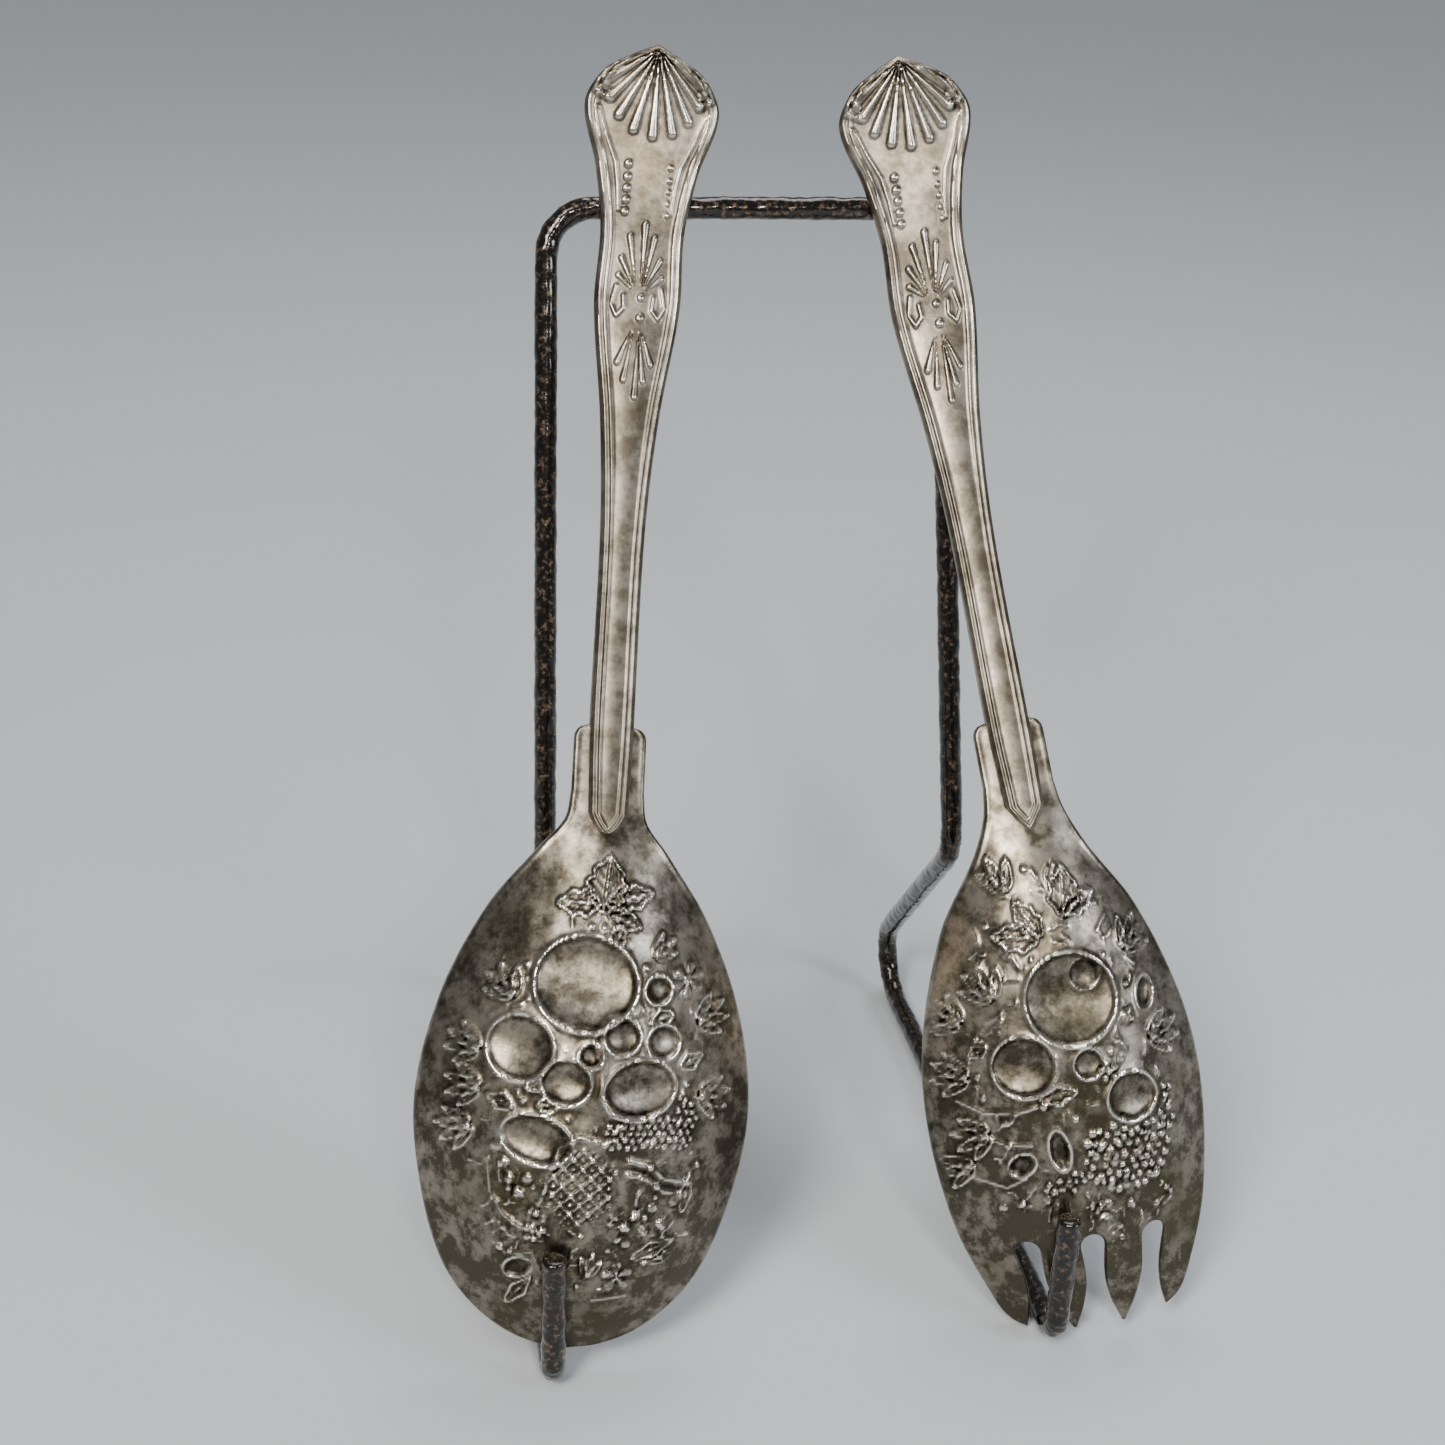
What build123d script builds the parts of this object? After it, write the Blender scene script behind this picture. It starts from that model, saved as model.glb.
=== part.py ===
"""Pair of fruit-pattern servers, a spoon and a four-tine fork, leaning in a bent-rod stand.

Row frame, millimetres: X to the right, Y towards the back of the stand, Z up.
The origin is on the table, midway between the front corners of the two hooks.
Each server is first modelled flat in its own frame: x across, y from the tip to the handle's end,
z out of its back (the convex side), and is then set down in its hook and leant on the top bar.
"""
from build123d import *
from math import atan, cos, pi, radians, sin, sqrt
import os

# ---- stand: one round rod, bent ------------------------------------------------------------
ROD_D = 4.4             # rod diameter, paint included
STAND_HEIGHT = 181.3    # table to the top of the top bar
BAR_HALF_SPAN = 36.7    # centre line of the top bar's corners, from the middle
KNEE_HALF_SPAN = 39.6
REAR_HALF_SPAN = 43.0
HOOK_HALF_SPAN = 44.7
BAR_Y = 105.0           # how far behind the hooks the top bar is
KNEE_Y = 70.5
KNEE_HEIGHT = 62.3
REAR_Y = 134.2          # where the leg would meet the foot without its bend
HOOK_HEIGHT = 28.0      # table to the end of the upright prong
HOOK_BEND_R = 4.4       # bends, on the rod's centre line
REAR_BEND_R = 9.0
KNEE_BEND_R = 9.0
BAR_BEND_R = 9.0
PRONG_EDGE = 0.6        # rounding of the rod's two ends

# ---- servers: sizes both of them share -----------------------------------------------------
SHEET = 1.1             # thickness of the bowls
SEAT = 0.3              # how deep the handle is let into the bowl's neck
HANDLE_LENGTH = 136.5   # foot of the handle to its end
HANDLE_WIDTH = 24.2     # across the shell at the end
WAIST_WIDTH = 15.4      # across the panel in the middle of the handle
STEM_WIDTH = 7.6        # across the narrow stem
STEM_THICK = 3.3        # at the foot
END_THICK = 2.2         # at the shell
NECK_WIDTH = 12.6       # the tongue of the bowl under the handle's foot
NECK_CORNER_R = 2.4
NECK_LENGTH = 13.5      # the whole tongue
NECK_FLARE = 2.0        # part of it that still narrows
CROWN_STEM = 0.8        # how much higher the handle's back is in its middle, at the stem
CROWN_END = 0.6         # and at the shell
HANDLE_SINK = 17.6      # drop of the handle's underside from the neck to its lowest point
HANDLE_LIFT = 3.0       # rise from the lowest point to the end

# ---- spoon bowl ----------------------------------------------------------------------------
SPOON_BOWL_LENGTH = 94.0
SPOON_BOWL_WIDTH = 58.0
SPOON_BOWL_DEPTH = 15.0
SPOON_FOOT_ROUND = 0.9  # the handle's foot: length of its drop, as a share of the stem's width

# ---- fork bowl -----------------------------------------------------------------------------
FORK_BOWL_LENGTH = 96.0
FORK_BOWL_WIDTH = 50.0
FORK_BOWL_DEPTH = 13.0
SLOT_TOP_Y = 18.0       # tips to the top of the slots
SLOT_TOP_WIDTH = 4.3
SLOT_WAIST_WIDTH = 3.4
SLOT_TOP_X = 11.6       # outer slots, from the middle
TIP_SPACING = 8.8       # tine tip to tine tip
FORK_FOOT_ROUND = 1.2

# ---- how the servers stand -----------------------------------------------------------------
REST_GAP = 0.3          # clearance between a server and the rod it rests on
SPOON_OFFSET = 2.5      # spoon's tip, inwards of its hook
SPOON_TILT = 6.4        # degrees, handle leaning inwards
SPOON_TURN = -1.6       # degrees, about the spoon's own length
FORK_OFFSET = 0.4       # middle of the fork's first slot, outwards of its hook
FORK_SET_BACK = 3.0     # fork's tips, behind the front corner of the hook
FORK_TILT = -7.0
FORK_TURN = -8.0
TABLE_GAP = 0.3         # fork tips above the table

STAND_TOP_Z = STAND_HEIGHT - ROD_D / 2
PRONG_STEPS = 24        # heights at which the spoon is tried against the prong
MARGIN = 6.0            # how far each shaping surface runs past its outline
REACH = 60.0            # more than any height in a server's own frame


def smooth_line(points):
    """A function through (position, value) pairs, with an even slope at each of them."""
    last = len(points) - 1
    slopes = []
    for i in range(last + 1):
        before, after = points[max(i - 1, 0)], points[min(i + 1, last)]
        slopes.append((after[1] - before[1]) / (after[0] - before[0]))

    def value(position):
        i = 0
        while i < last - 1 and position > points[i + 1][0]:
            i += 1
        (p0, v0), (p1, v1) = points[i], points[i + 1]
        span = p1 - p0
        t = (position - p0) / span
        if t < 0:
            return v0 + slopes[i] * span * t
        if t > 1:
            return v1 + slopes[i + 1] * span * (t - 1)
        rise = v1 - v0
        m0, m1 = slopes[i] * span, slopes[i + 1] * span
        return v0 + m0 * t + (3 * rise - 2 * m0 - m1) * t**2 + (m0 + m1 - 2 * rise) * t**3

    return value


def surface(height, half_width, y_from, y_to):
    """The face z = height(x, y), over a rectangle a little larger than the given one."""
    columns, rows = 13, 41
    x_edge = half_width + MARGIN
    y_start, y_end = y_from - MARGIN, y_to + MARGIN
    grid = []
    for i in range(columns):
        x = x_edge * (2 * i / (columns - 1) - 1)
        ys = [y_start + (y_end - y_start) * j / (rows - 1) for j in range(rows)]
        grid.append([Vector(x, y, height(x, y)) for y in ys])
    return Face.make_surface_from_array_of_points(grid, tol=0.01)


def between(top, bottom, half_width, y_from, y_to):
    """The solid between two height functions, as wide as their rectangle."""
    upper = surface(top, half_width, y_from, y_to)
    lower = surface(bottom, half_width, y_from, y_to)
    below_top = extrude(upper, amount=REACH, dir=(0, 0, -1))
    above_bottom = extrude(lower, amount=REACH, dir=(0, 0, 1))
    return below_top & above_bottom


def prism(outline):
    """A flat outline, drawn upright through all heights."""
    return extrude(outline, amount=REACH, both=True)


def mirrored_outline(right_side):
    """Face between the drawn right side and its mirror image."""
    left_side = right_side.mirror(Plane.YZ)
    return make_face(right_side.edges() + left_side.edges())


# ---- the handle, the same on both servers ---------------------------------------------------
class Handle:
    """A die-struck handle: a flat underside, a crowned back and a waisted outline."""

    def __init__(self, foot_y, neck_z, foot_share):
        """foot_y: where the straight stem starts. neck_z: height of its underside there."""
        self.foot_y = foot_y
        self.end_y = foot_y + HANDLE_LENGTH
        self.drop = foot_share * STEM_WIDTH / 2
        low = neck_z - HANDLE_SINK
        shares = [(-0.06, -0.12), (0.0, 0.0), (0.10, 0.24), (0.23, 0.48), (0.38, 0.70),
                  (0.54, 0.88), (0.69, 0.98), (0.80, 1.0)]
        line = [(foot_y + s * HANDLE_LENGTH, neck_z - drop * HANDLE_SINK) for s, drop in shares]
        line.append((foot_y + 0.89 * HANDLE_LENGTH, low + 0.30 * HANDLE_LIFT))
        line.append((self.end_y, low + HANDLE_LIFT))
        self.underside = smooth_line(line)
        self.thickness = smooth_line([(foot_y - 8, STEM_THICK - 0.9), (foot_y, STEM_THICK),
                                      (foot_y + 0.5 * HANDLE_LENGTH, (STEM_THICK + END_THICK) / 2),
                                      (self.end_y, END_THICK)])
        crown_stem = CROWN_STEM / (STEM_WIDTH / 2)**2
        crown_end = CROWN_END / (HANDLE_WIDTH / 2)**2
        self.crown = smooth_line([(foot_y, crown_stem), (foot_y + 0.4 * HANDLE_LENGTH, crown_stem),
                                  (foot_y + 0.7 * HANDLE_LENGTH, 3 * crown_end),
                                  (self.end_y, crown_end)])

    def right_side(self):
        """The outline's right half, from the foot's lowest point round to the end's peak."""
        stem, waist, wide = STEM_WIDTH / 2, WAIST_WIDTH / 2, HANDLE_WIDTH / 2
        foot, length = self.foot_y, HANDLE_LENGTH
        start, shoulder = (0, foot - self.drop), (0.9 * stem, foot)
        drop = ThreePointArc(start, (0.62 * stem, foot - 0.62 * self.drop), shoulder)
        flank = Spline(shoulder, (stem, foot + 0.10 * length), (stem * 1.04, foot + 0.36 * length),
                       (0.68 * waist, foot + 0.51 * length), (waist, foot + 0.66 * length),
                       (0.98 * waist, foot + 0.76 * length), (0.76 * wide, foot + 0.84 * length),
                       (wide, foot + 0.92 * length), (0.76 * wide, foot + 0.962 * length),
                       (0.36 * wide, foot + 0.984 * length), (0, foot + length))
        return Wire(drop.edges() + flank.edges())

    def solid(self):
        """The handle in its server's own frame."""
        def back(x, y):
            return self.underside(y) + self.thickness(y) - self.crown(y) * x**2

        def under(x, y):
            return self.underside(y)

        body = between(back, under, HANDLE_WIDTH / 2, self.foot_y - self.drop, self.end_y)
        return body & prism(mirrored_outline(self.right_side()))


# ---- the bowls --------------------------------------------------------------------------------
class Bowl:
    """A pressed sheet: its back is a keel line with a curl to each side, its neck a flat tongue."""

    def __init__(self, length, width, keel, curl, outline):
        """keel: heights along the middle. curl: how fast the back falls to the sides."""
        self.length, self.width = length, width
        self.keel = smooth_line([(y * length, z) for y, z in keel])
        self.curl = smooth_line([(y * length, c) for y, c in curl])
        self.outline = outline
        self.neck_y = length
        self.top_y = length + NECK_LENGTH

    def back(self, x, y):
        return self.keel(y) - self.curl(y) * x**2

    def front(self, x, y):
        """The hollow side, a sheet's thickness in from the back."""
        step = 0.5
        slope_x = -2 * self.curl(y) * x
        slope_y = (self.back(x, y + step) - self.back(x, y - step)) / (2 * step)
        return self.back(x, y) - SHEET * sqrt(1 + slope_x**2 + slope_y**2)

    def right_side(self):
        """The outline's right half, from the tip round to the middle of the tongue's end."""
        neck = NECK_WIDTH / 2
        points = [(x * self.width / 2, y * self.length) for x, y in self.outline]
        corner = (neck, self.top_y - NECK_CORNER_R)
        points.append((1.14 * neck, 0.968 * self.length))
        flare_end = (neck, self.neck_y + NECK_FLARE)
        side = Spline((0, 0), *points, flare_end, tangents=[(1, 0), (0, 1)],
                      tangent_scalars=[0.6, 0.1])
        straight = Line(flare_end, corner)
        centre = (neck - NECK_CORNER_R, corner[1])
        bend = RadiusArc(corner, (centre[0], self.top_y), -NECK_CORNER_R)
        end = Line((centre[0], self.top_y), (0, self.top_y))
        return Wire(side.edges() + straight.edges() + bend.edges() + end.edges())

    def solid(self):
        body = between(self.back, self.front, self.width / 2, 0, self.top_y)
        return body & prism(mirrored_outline(self.right_side()))


def slot_cutter(top_x, tip_x):
    """One slot between two tines: a round top, a narrower waist and a mouth that opens out."""
    top, waist = SLOT_TOP_WIDTH / 2, SLOT_WAIST_WIDTH / 2
    mouth = TIP_SPACING / 2 - 0.25
    lean = (top_x - tip_x) / SLOT_TOP_Y

    def at(x, y):
        return (tip_x + lean * y + x, y)

    round_y = SLOT_TOP_Y - top
    waist_y, flare_y = 0.52 * SLOT_TOP_Y, 0.24 * SLOT_TOP_Y
    right = Spline(at(top, round_y), at(waist, waist_y), at(0.62 * mouth, flare_y), at(mouth, 0))
    left = Spline(at(-top, round_y), at(-waist, waist_y), at(-0.62 * mouth, flare_y), at(-mouth, 0))
    cap = ThreePointArc(at(top, round_y), at(0, SLOT_TOP_Y), at(-top, round_y))
    mouth_right = Line(at(mouth, 0), at(mouth, -MARGIN))
    mouth_left = Line(at(-mouth, 0), at(-mouth, -MARGIN))
    bottom = Line(at(mouth, -MARGIN), at(-mouth, -MARGIN))
    edges = []
    for part in (cap, right, left, mouth_right, mouth_left, bottom):
        edges += part.edges()
    return prism(make_face(edges))


SPOON_OUTLINE = [(0.43, 0.038), (0.75, 0.138), (0.945, 0.309), (1.0, 0.46), (0.89, 0.638),
                 (0.66, 0.798), (0.385, 0.915)]
SPOON_KEEL = [(-0.05, -0.29), (0.0, 0.03), (0.064, 0.35), (0.16, 0.69), (0.32, 0.95), (0.468, 1.0),
              (0.617, 0.93), (0.766, 0.73), (0.894, 0.467), (1.0, 0.227), (1.15, -0.053)]
SPOON_CURL = [(0.0, 1.25), (0.32, 1.02), (0.53, 1.02), (0.69, 1.22), (0.80, 1.47), (0.87, 1.6),
              (0.96, 1.2), (1.06, 0.55), (1.17, 0.43)]
FORK_OUTLINE = [(0.50, 0.012), (0.78, 0.115), (0.93, 0.24), (1.0, 0.43), (0.93, 0.59),
                (0.70, 0.77), (0.40, 0.90)]
FORK_KEEL = [(-0.05, 0.0), (0.0, 0.12), (0.055, 0.28), (0.11, 0.43), (0.22, 0.69), (0.38, 0.93),
             (0.52, 1.0), (0.67, 0.93), (0.80, 0.74), (0.91, 0.48), (1.0, 0.262), (1.15, -0.061)]
FORK_CURL = [(0.0, 0.7), (0.25, 0.95), (0.53, 1.02), (0.69, 1.22), (0.80, 1.47), (0.87, 1.6),
             (0.96, 1.2), (1.06, 0.55), (1.17, 0.43)]


def scaled(shares, factor):
    """The same line with its values multiplied."""
    return [(position, value * factor) for position, value in shares]


def spoon_parts():
    """The spoon's bowl and handle in the spoon's own frame, and the descriptions of both."""
    depth, half = SPOON_BOWL_DEPTH, SPOON_BOWL_WIDTH / 2
    bowl = Bowl(SPOON_BOWL_LENGTH, SPOON_BOWL_WIDTH, scaled(SPOON_KEEL, depth),
                scaled(SPOON_CURL, depth / half**2), SPOON_OUTLINE)
    handle = Handle(bowl.neck_y - 1.5, bowl.keel(bowl.neck_y) - SEAT, SPOON_FOOT_ROUND)
    handle_solid = handle.solid()
    return bowl.solid() - handle_solid, handle_solid, bowl, handle


def fork_parts():
    """The fork's bowl and handle in the fork's own frame, and the handle's description."""
    depth, half = FORK_BOWL_DEPTH, FORK_BOWL_WIDTH / 2
    bowl = Bowl(FORK_BOWL_LENGTH, FORK_BOWL_WIDTH, scaled(FORK_KEEL, depth),
                scaled(FORK_CURL, depth / half**2), FORK_OUTLINE)
    handle = Handle(bowl.neck_y - 1.5, bowl.keel(bowl.neck_y) - SEAT, FORK_FOOT_ROUND)
    handle_solid = handle.solid()
    solid = bowl.solid() - handle_solid
    for top_x, tip_x in ((-SLOT_TOP_X, -TIP_SPACING), (0, 0), (SLOT_TOP_X, TIP_SPACING)):
        solid -= slot_cutter(top_x, tip_x)
    return solid, handle_solid, handle


# ---- standing a server up -------------------------------------------------------------------
def server_axes(lean, tilt, turn):
    """Directions of a server's own x, y and z for a lean back, a sideways tilt and a turn."""
    lean, tilt, turn = radians(lean), radians(tilt), radians(turn)
    along = Vector(sin(tilt), sin(lean) * cos(tilt), cos(lean) * cos(tilt))
    out = Vector(0, -cos(lean), sin(lean))
    across = along.cross(out)
    across = across * cos(turn) - out * sin(turn)
    return across, along, across.cross(along)


def lean_on_bar(foot, tilt, turn, handle):
    """Degrees to lean back from the foot until the handle's underside meets the top bar."""
    reach = ROD_D / 2 + REST_GAP

    def gap(lean):
        across, along, out = server_axes(lean, tilt, turn)
        bar = Vector(0, BAR_Y, STAND_TOP_Z) - foot
        gaps = []
        for side in (-WAIST_WIDTH / 2, 0, WAIST_WIDTH / 2):
            shift = (side - bar.dot(across)) / across.X
            point = bar + Vector(shift, 0, 0)
            y, z = point.dot(along), point.dot(out)
            slope = handle.underside(y + 0.5) - handle.underside(y - 0.5)
            gaps.append(handle.underside(y) - z - reach * sqrt(1 + slope**2))
        return min(gaps)

    upright, flat = 5.0, 60.0
    for _ in range(40):
        middle = (upright + flat) / 2
        if gap(middle) > 0:
            upright = middle
        else:
            flat = middle
    return upright


def spoon_foot(set_back):
    """Where the spoon's tip stands on the rod, this far behind the front corner of the hook."""
    return Vector(-HOOK_HALF_SPAN + SPOON_OFFSET, set_back, ROD_D + REST_GAP)


def set_back_from_prong(bowl, handle):
    """The spoon's set-back at which the back of its bowl just clears the hook's prong."""
    reach = ROD_D / 2 + REST_GAP

    def gap(set_back):
        foot = spoon_foot(set_back)
        lean = lean_on_bar(foot, SPOON_TILT, SPOON_TURN, handle)
        across, along, out = server_axes(lean, SPOON_TILT, SPOON_TURN)
        gaps = []
        for i in range(PRONG_STEPS + 1):
            height = ROD_D + (HOOK_HEIGHT - ROD_D) * i / PRONG_STEPS
            point = Vector(-HOOK_HALF_SPAN, 0, height) - foot
            x, y = point.dot(across), point.dot(along)
            if y > 0:
                slope_x = bowl.back(x + 0.5, y) - bowl.back(x - 0.5, y)
                slope_y = bowl.back(x, y + 0.5) - bowl.back(x, y - 0.5)
                steepness = sqrt(1 + slope_x**2 + slope_y**2)
                gaps.append(point.dot(out) - bowl.back(x, y) - reach * steepness)
        return min(gaps)

    near, far = 0.0, HOOK_HEIGHT
    for _ in range(20):
        middle = (near + far) / 2
        if gap(middle) > 0:
            far = middle
        else:
            near = middle
    return far


def stand_up(foot, tilt, turn, handle):
    """Location that puts a server's tip at the foot point and leans its handle on the bar."""
    lean = lean_on_bar(foot, tilt, turn, handle)
    across, along, out = server_axes(lean, tilt, turn)
    print(f"lean {lean:.3f}, tip at {tuple(foot)}, along {tuple(along)}, out {tuple(out)}")
    return Location(Plane(origin=foot, x_dir=across, z_dir=out))


def stand_wire():
    """The whole stand: hook, foot, rear bend, kinked leg and half the bar, then the same again."""
    low = ROD_D / 2
    half = [(HOOK_HALF_SPAN, 0, HOOK_HEIGHT), (HOOK_HALF_SPAN, 0, low), (REAR_HALF_SPAN, REAR_Y, low),
            (KNEE_HALF_SPAN, KNEE_Y, KNEE_HEIGHT), (BAR_HALF_SPAN, BAR_Y, STAND_TOP_Z)]
    other = [(-x, y, z) for x, y, z in reversed(half)]
    bends = [HOOK_BEND_R, REAR_BEND_R, KNEE_BEND_R, BAR_BEND_R]
    path = FilletPolyline(*half, *other, radius=bends + bends[::-1])
    section = Plane(origin=path @ 0, z_dir=path % 0) * Circle(ROD_D / 2)
    rod = sweep(section, path=path)
    tips = [edge for edge in rod.edges().filter_by(GeomType.CIRCLE)
            if abs(edge.center().Z - HOOK_HEIGHT) < 0.01]
    return fillet(tips, PRONG_EDGE)


def main():
    os.makedirs("parts", exist_ok=True)
    spoon_bowl, spoon_handle, spoon_back, spoon_grip = spoon_parts()
    fork_bowl, fork_handle, fork_grip = fork_parts()

    foot = spoon_foot(set_back_from_prong(spoon_back, spoon_grip))
    spoon_place = stand_up(foot, SPOON_TILT, SPOON_TURN, spoon_grip)
    tip_drop = 1.5 * TIP_SPACING * sin(radians(-FORK_TILT))
    foot = Vector(HOOK_HALF_SPAN + TIP_SPACING + FORK_OFFSET, FORK_SET_BACK, TABLE_GAP + tip_drop)
    fork_place = stand_up(foot, FORK_TILT, FORK_TURN, fork_grip)

    nodes = {
        "stand_wire": stand_wire(),
        "spoon_bowl": spoon_place * spoon_bowl,
        "spoon_handle": spoon_place * spoon_handle,
        "fork_bowl": fork_place * fork_bowl,
        "fork_handle": fork_place * fork_handle,
    }
    for name, shape in nodes.items():
        solid = shape.solid()
        solid.label = name
        export_step(solid, f"parts/{name}.step")
        print(name, "solids", len(shape.solids()), "volume", round(shape.volume, 1))


main()
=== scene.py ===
"""Fruit-pattern serving spoon and four-tine fork, leaning in a bent-rod stand.

Objects are in metres, in the CAD frame. Sizes in the classes are millimetres. A server's own x runs
across it, y from its tip to the handle's end, and z out of its back. The ornament is modelled.
"""
import logging
from dataclasses import dataclass, field
from enum import Enum
from math import cos, hypot, pi, radians, sin, sqrt, tan

import bmesh
import bpy
import numpy as np
from mathutils import Matrix, Vector, noise


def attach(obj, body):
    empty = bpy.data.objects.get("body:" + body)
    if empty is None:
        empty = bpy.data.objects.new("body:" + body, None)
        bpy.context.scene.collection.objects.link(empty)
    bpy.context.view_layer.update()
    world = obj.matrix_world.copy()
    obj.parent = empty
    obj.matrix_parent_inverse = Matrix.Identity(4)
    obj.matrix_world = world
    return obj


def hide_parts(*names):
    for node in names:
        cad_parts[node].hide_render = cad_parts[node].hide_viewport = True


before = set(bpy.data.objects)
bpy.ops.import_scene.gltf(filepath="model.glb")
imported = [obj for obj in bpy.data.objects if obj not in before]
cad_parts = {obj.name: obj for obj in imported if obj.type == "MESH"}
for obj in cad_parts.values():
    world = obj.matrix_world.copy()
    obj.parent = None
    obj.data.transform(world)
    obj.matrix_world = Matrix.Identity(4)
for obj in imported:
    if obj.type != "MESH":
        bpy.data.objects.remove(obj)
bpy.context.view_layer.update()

MM = 0.001
SHARP_DEGREES = 50.0    # an edge that turns by more than this stays hard
WELD_MM = 0.002         # grid points closer than this become one
Pair = tuple[float, float]
Triple = tuple[float, float, float]
LOG = logging.getLogger("servers")


# ---- small helpers ---------------------------------------------------------------------------
def linear(colour: str) -> tuple[float, float, float, float]:
    """Turns an sRGB hex colour to linear.

    Args:
        colour: six hex digits after a hash.

    Returns:
        Linear red, green and blue, and an alpha of one.
    """
    parts = [int(colour[i:i + 2], 16) / 255 for i in (1, 3, 5)]
    curved = [p / 12.92 if p <= 0.04045 else ((p + 0.055) / 1.055) ** 2.4 for p in parts]
    return curved[0], curved[1], curved[2], 1.0


def per_size(size_mm: float) -> float:
    """Texture scale on Object coordinates for a feature of this many millimetres."""
    return 1 / (size_mm * MM)


def node(tree: bpy.types.NodeTree, kind: str, settings: dict, inputs: dict) -> bpy.types.Node:
    """Adds one shader node.

    Args:
        tree: the material's tree.
        kind: the node's type name.
        settings: its properties.
        inputs: socket name or number to a value, or to another node's output.

    Returns:
        The node.
    """
    made = tree.nodes.new(kind)
    for key, value in settings.items():
        setattr(made, key, value)
    for key, value in inputs.items():
        if isinstance(value, bpy.types.NodeSocket):
            tree.links.new(value, made.inputs[key])
        else:
            made.inputs[key].default_value = value
    return made


def blank_material(name: str) -> tuple[bpy.types.Material, bpy.types.NodeTree]:
    """Starts a material.

    Args:
        name: its name.

    Returns:
        The material and its empty tree.
    """
    material = bpy.data.materials.new(name)
    material.use_nodes = True
    material.node_tree.nodes.clear()
    return material, material.node_tree


def close_material(tree: bpy.types.NodeTree, shader: bpy.types.Node) -> None:
    """Links a shader to the material's output."""
    node(tree, "ShaderNodeOutputMaterial", {}, {"Surface": shader.outputs[0]})


class SmoothLine:
    """A line through (position, value) pairs, with an even slope at each of them."""

    def __init__(self, points: list[Pair]) -> None:
        """Works out the slopes.

        Args:
            points: the pairs, in order of position.
        """
        self.at = np.array([p for p, _ in points], float)
        self.value = np.array([v for _, v in points], float)
        last = len(points) - 1
        before = np.maximum(np.arange(last + 1) - 1, 0)
        after = np.minimum(np.arange(last + 1) + 1, last)
        self.slope = (self.value[after] - self.value[before]) / (self.at[after] - self.at[before])

    def __call__(self, position: np.ndarray) -> np.ndarray:
        """Reads the line.

        Args:
            position: where to read it; past its ends the line runs on straight.

        Returns:
            The values there.
        """
        x = np.asarray(position, float)
        i = np.clip(np.searchsorted(self.at, x) - 1, 0, len(self.at) - 2)
        span = self.at[i + 1] - self.at[i]
        t = (x - self.at[i]) / span
        inside = np.clip(t, 0, 1)
        rise = self.value[i + 1] - self.value[i]
        m0, m1 = self.slope[i] * span, self.slope[i + 1] * span
        curve = (self.value[i] + m0 * inside + (3 * rise - 2 * m0 - m1) * inside**2
                 + (m0 + m1 - 2 * rise) * inside**3)
        return curve + m0 * np.minimum(t, 0) + m1 * np.maximum(t - 1, 0)


def blurred(grid: np.ndarray, passes: int) -> np.ndarray:
    """Evens out a grid of values.

    Args:
        grid: the values.
        passes: how many times each value is averaged with its neighbours.

    Returns:
        The smoother grid.
    """
    for _ in range(passes):
        wide = np.pad(grid, 1, mode="edge")
        around = wide[:-2, 1:-1] + wide[2:, 1:-1] + wide[1:-1, :-2] + wide[1:-1, 2:]
        grid = (around + 4 * grid) / 8
    return grid


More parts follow.
